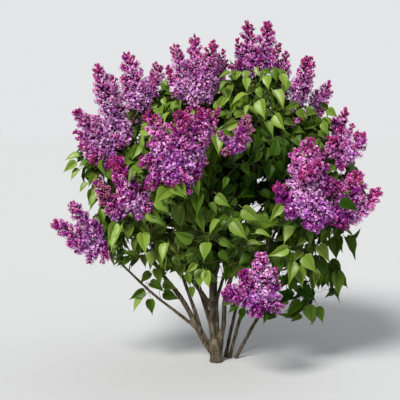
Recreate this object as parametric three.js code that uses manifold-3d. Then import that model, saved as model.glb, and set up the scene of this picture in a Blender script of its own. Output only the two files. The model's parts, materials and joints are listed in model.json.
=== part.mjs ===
// Lilac bush in full bloom: a low forked trunk with suckers, tapering boughs, masses of foliage and blossom trusses.
// Units are millimetres, +Z is up, and the origin is the middle of the flat cut under the trunk.

import * as THREE from 'three';
import { mergeVertices } from 'three/addons/utils/BufferGeometryUtils.js';
import Module from 'manifold-3d';

const wasm = await Module();
wasm.setup();

// Driving dimensions.
const BUSH_WIDTH = 1500;
const CUT_DEPTH = 30;
const GAP = 0.5;
const LIMB_SIDES = 7;
const LIMB_STEP = 80;
const MASS_DETAIL = 2;
const MASS_LUMPS = 12;
const LUMP_HEIGHT = 0.34;
const LUMP_SHARPNESS = 10;
const LUMP_MEAN = 0.4;
const MASS_SEED = 101;
const PANICLE_SIDES = 5;
const PANICLE_LUMP = 0.12;

// Outline of one panicle from its foot to its tip: how far along, and how wide next to its greatest width.
const PANICLE_OUTLINE = [
  [0.0, 0.0],
  [0.06, 0.72],
  [0.42, 1.0],
  [0.88, 0.5],
  [1.0, 0.0],
];

// Back trusses: they sit round the hidden side of the crown on one egg shape.
const CROWN_CENTRE = new THREE.Vector3(-15, 30, 880);
const CROWN_RADII = new THREE.Vector3(690, 650, 620);
const BACK_TRUSSES = 8;
const BACK_START_ANGLE = 12;
const BACK_ANGLE_STEP = 20;
const BACK_LOW_ELEVATION = -14;
const BACK_ELEVATION_SPAN = 60;
const BACK_CLIMB_START = 13;
const GOLDEN_FRACTION = 0.618;
const BACK_FOOT_SHARE = 0.69;
const BACK_PANICLE_LENGTH = 260;
const BACK_PANICLE_WIDTH = 120;
const BACK_PANICLES = 2;
const BACK_FAN = 0.42;
const BACK_LIFT = 0.55;

const BARK = new THREE.MeshStandardMaterial({ color: 0x86775f, roughness: 0.9, metalness: 0 });
const LEAF = new THREE.MeshStandardMaterial({ color: 0x5c8730, roughness: 0.6, metalness: 0 });
const PETAL = new THREE.MeshStandardMaterial({ color: 0xa04fae, roughness: 0.75, metalness: 0 });

// Limbs, in the order in which they part: the points that each one passes through, and its radius at each.
// The first two radii of the trunk make the root flare. A limb ends where it enters a mass.
const LIMBS = [
  {
    name: 'trunk',
    path: [[1, 0, -CUT_DEPTH], [1, 0, 0], [0, 0, 35], [0, 2, 80], [2, 3, 118]],
    radii: [35, 33, 28, 34, 32],
  },
  {
    name: 'stem_left_fork',
    path: [[-6, 0, 30], [-40, -2, 78], [-78, -5, 150], [-88, -5, 172]],
    radii: [16, 15, 17, 15],
  },
  {
    name: 'bough_left_low',
    path: [[-74, -8, 146], [-160, -22, 222], [-300, -60, 342], [-405, -110, 455], [-490, -155, 545]],
    radii: [8, 7, 6, 5, 4],
  },
  {
    name: 'bough_left_middle',
    path: [[-80, -8, 150], [-160, -14, 300], [-265, -24, 442], [-370, -40, 620]],
    radii: [12, 11, 9, 7],
  },
  {
    name: 'bough_left_inner',
    path: [[-74, 4, 152], [-104, 18, 248], [-140, 30, 350], [-200, 42, 520]],
    radii: [10, 9, 8, 7],
  },
  {
    name: 'stem_centre',
    path: [[-8, 2, 90], [-20, 0, 200], [-25, 0, 395], [-45, -10, 620]],
    radii: [16, 14, 14, 11],
  },
  {
    name: 'bough_centre_left',
    path: [[-22, 0, 262], [-64, 5, 325], [-120, 10, 400], [-185, 12, 520]],
    radii: [11, 10, 9, 8],
  },
  {
    name: 'stem_centre_right',
    path: [[8, 8, 95], [4, 12, 200], [6, 14, 300], [45, 20, 445], [75, 30, 620]],
    radii: [9, 8, 8, 7, 6],
  },
  {
    name: 'stem_right',
    path: [[16, 0, 92], [35, 0, 175], [42, 0, 300], [75, -25, 430], [120, -60, 600]],
    radii: [12, 11, 11, 10, 8],
  },
  {
    name: 'bough_front_low',
    path: [[42, -2, 285], [75, -130, 330], [115, -270, 345], [150, -380, 370]],
    radii: [7, 6, 6, 5],
  },
  {
    name: 'sucker_near',
    path: [[62, 60, -CUT_DEPTH], [66, 61, 0], [95, 70, 115], [120, 76, 200], [165, 76, 330], [225, 20, 480], [275, -60, 640]],
    radii: [10, 9, 8, 8, 7, 7, 6],
  },
  {
    name: 'sucker_outer',
    path: [[88, 60, -CUT_DEPTH], [97, 60, 0], [147, 60, 100], [196, 55, 190], [275, 40, 320], [370, 0, 470]],
    radii: [10, 9, 8, 8, 7, 6],
  },
  {
    name: 'sucker_back',
    path: [[44, 88, -CUT_DEPTH], [48, 90, 0], [70, 100, 110], [88, 108, 190], [125, 150, 340], [170, 220, 560]],
    radii: [10, 9, 8, 8, 8, 7],
  },
  {
    name: 'stem_back_left',
    path: [[-8, 14, 70], [-34, 60, 200], [-90, 130, 360], [-170, 230, 600]],
    radii: [12, 11, 10, 8],
  },
  {
    name: 'stem_back_right',
    path: [[10, 98, -CUT_DEPTH], [10, 100, 0], [4, 150, 160], [0, 220, 350], [10, 310, 600]],
    radii: [11, 10, 9, 9, 7],
  },
];

// Masses of foliage: the middle and the three half widths of each.
const MASSES = [
  { name: 'foliage_heart', centre: [-15, 60, 850], radii: [230, 200, 210] },
  { name: 'foliage_top', centre: [185, 20, 1250], radii: [205, 215, 150] },
  { name: 'foliage_top_left', centre: [-210, 60, 1180], radii: [230, 200, 140] },
  { name: 'foliage_left_upper', centre: [-500, -20, 965], radii: [190, 190, 140] },
  { name: 'foliage_left_lower', centre: [-400, -80, 685], radii: [185, 200, 165] },
  { name: 'foliage_front_left', centre: [-215, -255, 870], radii: [205, 215, 195] },
  { name: 'foliage_front', centre: [95, -260, 840], radii: [220, 205, 200] },
  { name: 'foliage_right_upper', centre: [420, 0, 1090], radii: [190, 210, 145] },
  { name: 'foliage_right_outer', centre: [540, -60, 880], radii: [155, 200, 165] },
  { name: 'foliage_right_middle', centre: [380, -160, 730], radii: [230, 215, 165] },
  { name: 'foliage_right_lower', centre: [425, -80, 430], radii: [150, 170, 225] },
  { name: 'foliage_low_centre', centre: [-10, -70, 560], radii: [235, 205, 125] },
  { name: 'foliage_front_low', centre: [150, -360, 360], radii: [115, 105, 75] },
  { name: 'foliage_back_top', centre: [-20, 285, 1190], radii: [265, 215, 170] },
  { name: 'foliage_back_left', centre: [-395, 300, 900], radii: [235, 225, 215] },
  { name: 'foliage_back_right', centre: [390, 310, 920], radii: [230, 225, 230] },
  { name: 'foliage_back_middle', centre: [-5, 455, 820], radii: [245, 190, 225] },
  { name: 'foliage_back_low', centre: [30, 350, 540], radii: [340, 205, 140] },
];

// Blossom trusses of the front and the outline: the foot that the panicles share, and for each panicle
// its tip and its greatest width.
const TRUSSES = [
  { name: 'blossom_left_top', foot: [-450, -50, 1070], panicles: [[-545, -80, 1400, 110], [-480, -30, 1355, 90]] },
  { name: 'blossom_upper_left', foot: [-335, -10, 1180], panicles: [[-415, 0, 1455, 115]] },
  {
    name: 'blossom_left_shoulder',
    foot: [-480, -50, 1010],
    panicles: [[-655, -60, 1200, 100], [-560, -90, 1165, 90], [-655, -60, 1100, 85]],
  },
  { name: 'blossom_small_top', foot: [-320, 90, 1250], panicles: [[-285, 110, 1425, 62]] },
  {
    name: 'blossom_top_centre',
    foot: [-80, -80, 1210],
    panicles: [
      [-195, -90, 1490, 92], [-100, -110, 1525, 110], [-15, -90, 1505, 100],
      [-225, -60, 1390, 70], [45, -60, 1415, 78],
    ],
  },
  {
    name: 'blossom_centre',
    foot: [-165, -420, 970],
    panicles: [
      [-290, -470, 1180, 108], [-155, -540, 1180, 115], [-65, -500, 1200, 107], [5, -460, 1205, 70],
      [-125, -520, 845, 110], [-320, -450, 970, 92], [-45, -470, 950, 85],
    ],
  },
  {
    name: 'blossom_left_front',
    foot: [-345, -290, 765],
    panicles: [[-445, -330, 985, 112], [-430, -300, 810, 96]],
  },
  { name: 'blossom_left_faded', foot: [-425, -255, 705], panicles: [[-555, -280, 890, 90]] },
  {
    name: 'blossom_left_low',
    foot: [-495, -165, 555],
    panicles: [[-655, -200, 785, 110], [-735, -190, 695, 125], [-525, -190, 475, 85]],
  },
  {
    name: 'blossom_top_right',
    foot: [195, -15, 1350],
    panicles: [[140, -30, 1605, 95], [235, 0, 1605, 105], [90, -60, 1415, 66], [325, 40, 1470, 55]],
  },
  { name: 'blossom_right_top', foot: [390, -25, 1200], panicles: [[405, -30, 1440, 112], [450, 0, 1420, 72]] },
  { name: 'blossom_right_shoulder', foot: [475, 30, 1165], panicles: [[530, 40, 1330, 68]] },
  { name: 'blossom_right_small', foot: [550, 0, 1040], panicles: [[605, 0, 1195, 60]] },
  {
    name: 'blossom_right_front',
    foot: [375, -385, 780],
    panicles: [
      [385, -430, 1080, 150], [320, -420, 1030, 100], [250, -380, 875, 94],
      [480, -410, 900, 112], [440, -420, 675, 118],
    ],
  },
  {
    name: 'blossom_right_outer_top',
    foot: [580, -175, 985],
    panicles: [[515, -200, 1065, 90], [655, -170, 1090, 100], [550, -210, 935, 75]],
  },
  {
    name: 'blossom_right_outer',
    foot: [565, -235, 750],
    panicles: [[615, -280, 930, 120], [715, -230, 850, 106], [555, -280, 655, 110]],
  },
  {
    name: 'blossom_front_low',
    foot: [170, -430, 390],
    panicles: [
      [185, -480, 610, 116], [25, -480, 425, 100], [100, -510, 545, 100],
      [265, -440, 550, 86], [165, -480, 315, 100], [285, -450, 360, 92],
    ],
  },
  { name: 'blossom_front_small', foot: [80, -355, 965], panicles: [[135, -440, 1175, 92], [0, -430, 1020, 62]] },
];

// A repeatable stream of numbers from 0 to 1 for each piece's own unevenness.
function randomStream(seed) {
  let state = seed * 2654435761;
  return () => {
    state = (state + 0x6d2b79f5) | 0;
    let mixed = Math.imul(state ^ (state >>> 15), 1 | state);
    mixed = (mixed + Math.imul(mixed ^ (mixed >>> 7), 61 | mixed)) ^ mixed;
    return ((mixed ^ (mixed >>> 14)) >>> 0) / 4294967296;
  };
}

// A closed solid from a three.js geometry: its doubled points are merged and its empty triangles dropped.
function solidOf(geometry) {
  const bare = geometry.clone();
  bare.deleteAttribute('normal');
  bare.deleteAttribute('uv');
  const merged = mergeVertices(bare, 0.01);
  const index = merged.index.array;
  const triangles = [];
  for (let i = 0; i < index.length; i += 3) {
    const corners = [index[i], index[i + 1], index[i + 2]];
    if (new Set(corners).size === 3) triangles.push(...corners);
  }
  return new wasm.Manifold(new wasm.Mesh({
    numProp: 3,
    vertProperties: new Float32Array(merged.attributes.position.array),
    triVerts: new Uint32Array(triangles),
  }));
}

function meshOf(solid, name, material) {
  const { vertProperties, triVerts } = solid.getMesh();
  const geometry = new THREE.BufferGeometry();
  geometry.setAttribute('position', new THREE.BufferAttribute(vertProperties, 3));
  geometry.setIndex(new THREE.BufferAttribute(triVerts, 1));
  geometry.computeVertexNormals();
  const mesh = new THREE.Mesh(geometry, material);
  mesh.name = name;
  return mesh;
}

// The space on a neighbour's side of the flat boundary between two masses, with half the gap kept clear.
function beyondBoundary(row, neighbour) {
  const towards = new THREE.Vector3(...neighbour.centre).sub(new THREE.Vector3(...row.centre));
  const distance = towards.length();
  towards.normalize();
  const reach = ({ radii }) => 1 / towards.clone().divide(new THREE.Vector3(...radii)).length();
  const boundary = distance * reach(row) / (reach(row) + reach(neighbour)) - GAP / 2;
  return solidOf(
    new THREE.BoxGeometry(BUSH_WIDTH, BUSH_WIDTH, BUSH_WIDTH)
      .translate(0, BUSH_WIDTH / 2 + boundary, 0)
      .applyQuaternion(new THREE.Quaternion().setFromUnitVectors(new THREE.Vector3(0, 1, 0), towards))
      .translate(...row.centre),
  );
}

function boxesMeet(one, other) {
  const a = one.boundingBox();
  const b = other.boundingBox();
  return [0, 1, 2].every((axis) => a.min[axis] < b.max[axis] && b.min[axis] < a.max[axis]);
}

// What is left of a solid once its neighbours are cut out of it: the largest of the bodies that remain.
function cutBy(solid, neighbours) {
  let rest = solid;
  for (const neighbour of neighbours) {
    if (boxesMeet(rest, neighbour)) rest = rest.subtract(neighbour);
  }
  return rest.decompose().sort((one, other) => other.volume() - one.volume())[0];
}

// Everything under the level ground, for the flat cut.
const belowGround = solidOf(
  new THREE.BoxGeometry(BUSH_WIDTH, BUSH_WIDTH, BUSH_WIDTH).translate(0, 0, -BUSH_WIDTH / 2),
);

// One limb: a cylinder's rings carried along a smooth path, each with its own radius.
function limb({ path, radii }, grow = 0) {
  const curve = new THREE.CatmullRomCurve3(path.map((point) => new THREE.Vector3(...point)), false, 'centripetal');
  const steps = Math.max(path.length, Math.round(curve.getLength() / LIMB_STEP));
  const geometry = new THREE.CylinderGeometry(1, 1, 1, LIMB_SIDES, steps);
  const position = geometry.attributes.position;
  const side = new THREE.Vector3();
  const other = new THREE.Vector3();
  for (let i = 0; i < position.count; i += 1) {
    const along = THREE.MathUtils.clamp(position.getY(i) + 0.5, 0, 1);
    const tangent = curve.getTangent(along);
    side.set(0, 1, 0).cross(tangent).normalize();
    other.crossVectors(tangent, side);
    const share = along * (radii.length - 1);
    const last = Math.min(Math.floor(share), radii.length - 2);
    const radius = THREE.MathUtils.lerp(radii[last], radii[last + 1], share - last) + grow;
    const point = curve.getPoint(along)
      .addScaledVector(side, position.getZ(i) * radius)
      .addScaledVector(other, position.getX(i) * radius);
    position.setXYZ(i, point.x, point.y, point.z);
  }
  return solidOf(geometry);
}

// One mass of foliage: a ball stretched to its half widths, with rounded lumps in random directions.
function mass({ centre, radii }, seed, grow = 0) {
  const random = randomStream(seed);
  const lumps = Array.from({ length: MASS_LUMPS }, () => new THREE.Vector3().setFromSphericalCoords(
    1,
    Math.acos(1 - 2 * random()),
    2 * Math.PI * random(),
  ));
  const geometry = new THREE.IcosahedronGeometry(1, MASS_DETAIL);
  const position = geometry.attributes.position;
  const direction = new THREE.Vector3();
  for (let i = 0; i < position.count; i += 1) {
    direction.fromBufferAttribute(position, i).normalize();
    const nearest = Math.max(...lumps.map((lump) => lump.dot(direction)));
    const reach = 1 + LUMP_HEIGHT * (Math.max(nearest, 0) ** LUMP_SHARPNESS - LUMP_MEAN);
    position.setXYZ(
      i,
      centre[0] + direction.x * (radii[0] * reach + grow),
      centre[1] + direction.y * (radii[1] * reach + grow),
      centre[2] + direction.z * (radii[2] * reach + grow),
    );
  }
  return solidOf(geometry);
}

// One panicle: a turned outline with uneven flanks, laid from the foot to the tip.
function panicle(foot, [x, y, z, width], random, grow) {
  const start = new THREE.Vector3(...foot);
  const axis = new THREE.Vector3(x, y, z).sub(start);
  const length = axis.length() + 2 * grow;
  const outline = PANICLE_OUTLINE.map(([along, share]) => new THREE.Vector2(
    share === 0 ? 0 : share * width / 2 + grow,
    along * length - grow,
  ));
  const geometry = new THREE.LatheGeometry(outline, PANICLE_SIDES);
  const position = geometry.attributes.position;
  const rings = outline.length;
  const unevenness = Array.from({ length: PANICLE_SIDES * rings }, () => 1 + PANICLE_LUMP * (2 * random() - 1));
  for (let i = 0; i < position.count; i += 1) {
    const turn = Math.floor(i / rings) % PANICLE_SIDES;
    const factor = unevenness[turn * rings + (i % rings)];
    position.setX(i, position.getX(i) * factor);
    position.setZ(i, position.getZ(i) * factor);
  }
  const turnToAxis = new THREE.Quaternion().setFromUnitVectors(new THREE.Vector3(0, 1, 0), axis.normalize());
  geometry.applyQuaternion(turnToAxis).translate(...start);
  return solidOf(geometry);
}

// One truss: its panicles joined at the foot that they share.
function truss({ foot, panicles }, seed, grow = 0) {
  const random = randomStream(seed);
  return panicles
    .map((tip) => panicle(foot, tip, random, grow))
    .reduce((joined, next) => joined.add(next));
}

// The trusses of the hidden side, spread round the back of the crown by equal turns and golden steps in height.
function backTrusses() {
  const rows = [];
  for (let i = 0; i < BACK_TRUSSES; i += 1) {
    const turn = THREE.MathUtils.degToRad(BACK_START_ANGLE + i * BACK_ANGLE_STEP);
    const climb = ((i + BACK_CLIMB_START) * GOLDEN_FRACTION) % 1;
    const elevation = THREE.MathUtils.degToRad(BACK_LOW_ELEVATION + climb * BACK_ELEVATION_SPAN);
    const outward = new THREE.Vector3(
      Math.cos(turn) * Math.cos(elevation),
      Math.sin(turn) * Math.cos(elevation),
      Math.sin(elevation),
    );
    const foot = outward.clone().multiply(CROWN_RADII).multiplyScalar(BACK_FOOT_SHARE).add(CROWN_CENTRE);
    const sideways = new THREE.Vector3(-Math.sin(turn), Math.cos(turn), 0);
    const panicles = [];
    for (let k = 0; k < BACK_PANICLES; k += 1) {
      const fan = k - (BACK_PANICLES - 1) / 2;
      const aim = outward.clone()
        .addScaledVector(sideways, BACK_FAN * fan)
        .add(new THREE.Vector3(0, 0, BACK_LIFT * (1 - 0.5 * Math.abs(fan))))
        .normalize();
      const tip = foot.clone().addScaledVector(aim, BACK_PANICLE_LENGTH * (1 - 0.15 * Math.abs(fan)));
      panicles.push([tip.x, tip.y, tip.z, BACK_PANICLE_WIDTH]);
    }
    rows.push({ name: `blossom_back_${i + 1}`, foot: foot.toArray(), panicles });
  }
  return rows;
}

// The bush: masses part along flat boundaries, and trusses and limbs end where they enter a mass.
const bush = new THREE.Group();
bush.name = 'lilac_bush';

const wholeMasses = MASSES.map((row, i) => mass(row, MASS_SEED + i));
MASSES.forEach((row, i) => {
  const neighbours = MASSES.filter((other, k) => k !== i && boxesMeet(wholeMasses[i], wholeMasses[k]));
  const cutters = neighbours.map((other) => beyondBoundary(row, other));
  bush.add(meshOf(cutBy(wholeMasses[i], cutters), row.name, LEAF));
});
const cleared = MASSES.map((row, i) => mass(row, MASS_SEED + i, GAP));

[...TRUSSES, ...backTrusses()].forEach((row, i) => {
  bush.add(meshOf(cutBy(truss(row, i + 1), cleared), row.name, PETAL));
  cleared.push(truss(row, i + 1, GAP));
});

cleared.push(belowGround);
LIMBS.forEach((row) => {
  bush.add(meshOf(cutBy(limb(row), cleared), row.name, BARK));
  cleared.push(limb(row, GAP));
});

export default bush;
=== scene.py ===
"""A common lilac in full bloom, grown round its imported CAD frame."""

import functools
import json
import math

import bmesh
import bpy
import numpy as np
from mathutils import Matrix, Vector, noise
from mathutils.bvhtree import BVHTree

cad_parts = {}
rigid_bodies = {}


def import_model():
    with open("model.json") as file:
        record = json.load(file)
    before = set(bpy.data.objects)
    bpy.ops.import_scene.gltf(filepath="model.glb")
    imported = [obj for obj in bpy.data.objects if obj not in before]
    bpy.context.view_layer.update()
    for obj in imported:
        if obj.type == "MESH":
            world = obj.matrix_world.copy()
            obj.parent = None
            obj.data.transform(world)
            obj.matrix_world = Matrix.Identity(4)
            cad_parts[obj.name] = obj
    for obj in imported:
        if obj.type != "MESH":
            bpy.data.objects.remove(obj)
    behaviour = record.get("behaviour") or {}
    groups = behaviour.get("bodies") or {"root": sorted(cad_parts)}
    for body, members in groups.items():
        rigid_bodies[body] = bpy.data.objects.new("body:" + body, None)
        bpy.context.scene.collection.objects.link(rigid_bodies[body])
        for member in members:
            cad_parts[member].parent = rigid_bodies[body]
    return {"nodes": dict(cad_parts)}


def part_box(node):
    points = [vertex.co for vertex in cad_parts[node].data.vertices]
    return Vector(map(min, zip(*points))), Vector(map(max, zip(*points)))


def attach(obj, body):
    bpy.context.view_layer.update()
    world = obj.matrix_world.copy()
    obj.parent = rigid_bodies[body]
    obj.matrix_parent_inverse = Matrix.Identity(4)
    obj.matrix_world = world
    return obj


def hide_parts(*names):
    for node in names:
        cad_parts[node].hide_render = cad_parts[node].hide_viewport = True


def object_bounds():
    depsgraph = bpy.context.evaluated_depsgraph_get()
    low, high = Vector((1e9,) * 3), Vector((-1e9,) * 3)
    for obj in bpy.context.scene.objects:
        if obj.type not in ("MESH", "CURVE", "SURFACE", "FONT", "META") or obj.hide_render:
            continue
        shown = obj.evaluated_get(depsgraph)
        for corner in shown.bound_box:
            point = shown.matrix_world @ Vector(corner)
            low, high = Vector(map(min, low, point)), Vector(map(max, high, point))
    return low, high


bl_info = {
    "name": "Lilac Bush",
    "version": (1, 0, 0),
    "blender": (4, 5, 0),
    "location": "View3D > Sidebar > Lilac",
    "description": "Stems, boughs, leaves and blossom of a common lilac in full bloom",
    "category": "Object",
}

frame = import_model()
CAD_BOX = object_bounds()
BODY = "root"
MM = 0.001
TURN = 2 * math.pi
GOLDEN_TURN = math.pi * (3 - math.sqrt(5))
UP = np.array((0.0, 0.0, 1.0))

# The stems by name, as rows of x, y, z and radius in millimetres, from the ground or from a fork.
LIMBS = {
    "trunk": ((1, 0, -30, 35), (1, 0, 0, 33), (0, 0, 35, 28), (0, 2, 80, 34), (2, 3, 118, 32)),
    "stem_left_fork": ((-6, 0, 30, 16), (-40, -2, 78, 15), (-78, -5, 150, 17), (-88, -5, 172, 15)),
    "bough_left_low": (
        (-74, -8, 146, 8),
        (-160, -22, 222, 7),
        (-300, -60, 342, 6),
        (-405, -110, 455, 5),
        (-490, -155, 545, 4),
    ),
    "bough_left_middle": (
        (-80, -8, 150, 12),
        (-160, -14, 300, 11),
        (-265, -24, 442, 9),
        (-370, -40, 620, 7),
    ),
    "bough_left_inner": ((-74, 4, 152, 10), (-104, 18, 248, 9), (-140, 30, 350, 8), (-200, 42, 520, 7)),
    "stem_centre": ((-8, 2, 90, 15), (-19, 0, 200, 12), (-24, 0, 395, 11.5), (-45, -10, 620, 10)),
    "bough_centre_left": ((-22, 0, 262, 11), (-64, 5, 325, 10), (-120, 10, 400, 9), (-185, 12, 520, 8)),
    "stem_centre_right": (
        (8, 8, 95, 9),
        (5, 12, 200, 8.5),
        (5, 14, 300, 8.5),
        (45, 20, 445, 7),
        (75, 30, 620, 6),
    ),
    "stem_right": (
        (16, 0, 92, 12),
        (35, 0, 175, 11),
        (42, 0, 300, 11),
        (75, -25, 430, 10),
        (120, -60, 600, 8),
    ),
    "bough_front_low": ((42, -2, 285, 7), (75, -130, 330, 6), (115, -270, 345, 6), (150, -380, 370, 5)),
    "sucker_near": (
        (62, 60, -30, 10),
        (66, 61, 0, 9),
        (95, 70, 115, 8),
        (120, 76, 200, 8),
        (165, 76, 330, 7),
        (225, 20, 480, 7),
        (275, -60, 640, 6),
    ),
    "sucker_outer": (
        (88, 60, -30, 10),
        (97, 60, 0, 9),
        (147, 60, 100, 8),
        (196, 55, 190, 8),
        (275, 40, 320, 7),
        (370, 0, 470, 6),
    ),
    "sucker_back": (
        (44, 88, -30, 10),
        (48, 90, 0, 9),
        (70, 100, 110, 8),
        (88, 108, 190, 8),
        (125, 150, 340, 8),
        (170, 220, 560, 7),
    ),
    "stem_back_left": ((-8, 14, 70, 12), (-34, 60, 200, 11), (-90, 130, 360, 10), (-170, 230, 600, 8)),
    "stem_back_right": (
        (10, 98, -30, 11),
        (10, 100, 0, 10),
        (4, 150, 160, 9),
        (0, 220, 350, 9),
        (10, 310, 600, 7),
    ),
}
STEM_STEP = 0.012
STEM_SIDES = 14
LIMB_MARK_STEP = 0.03

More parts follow.
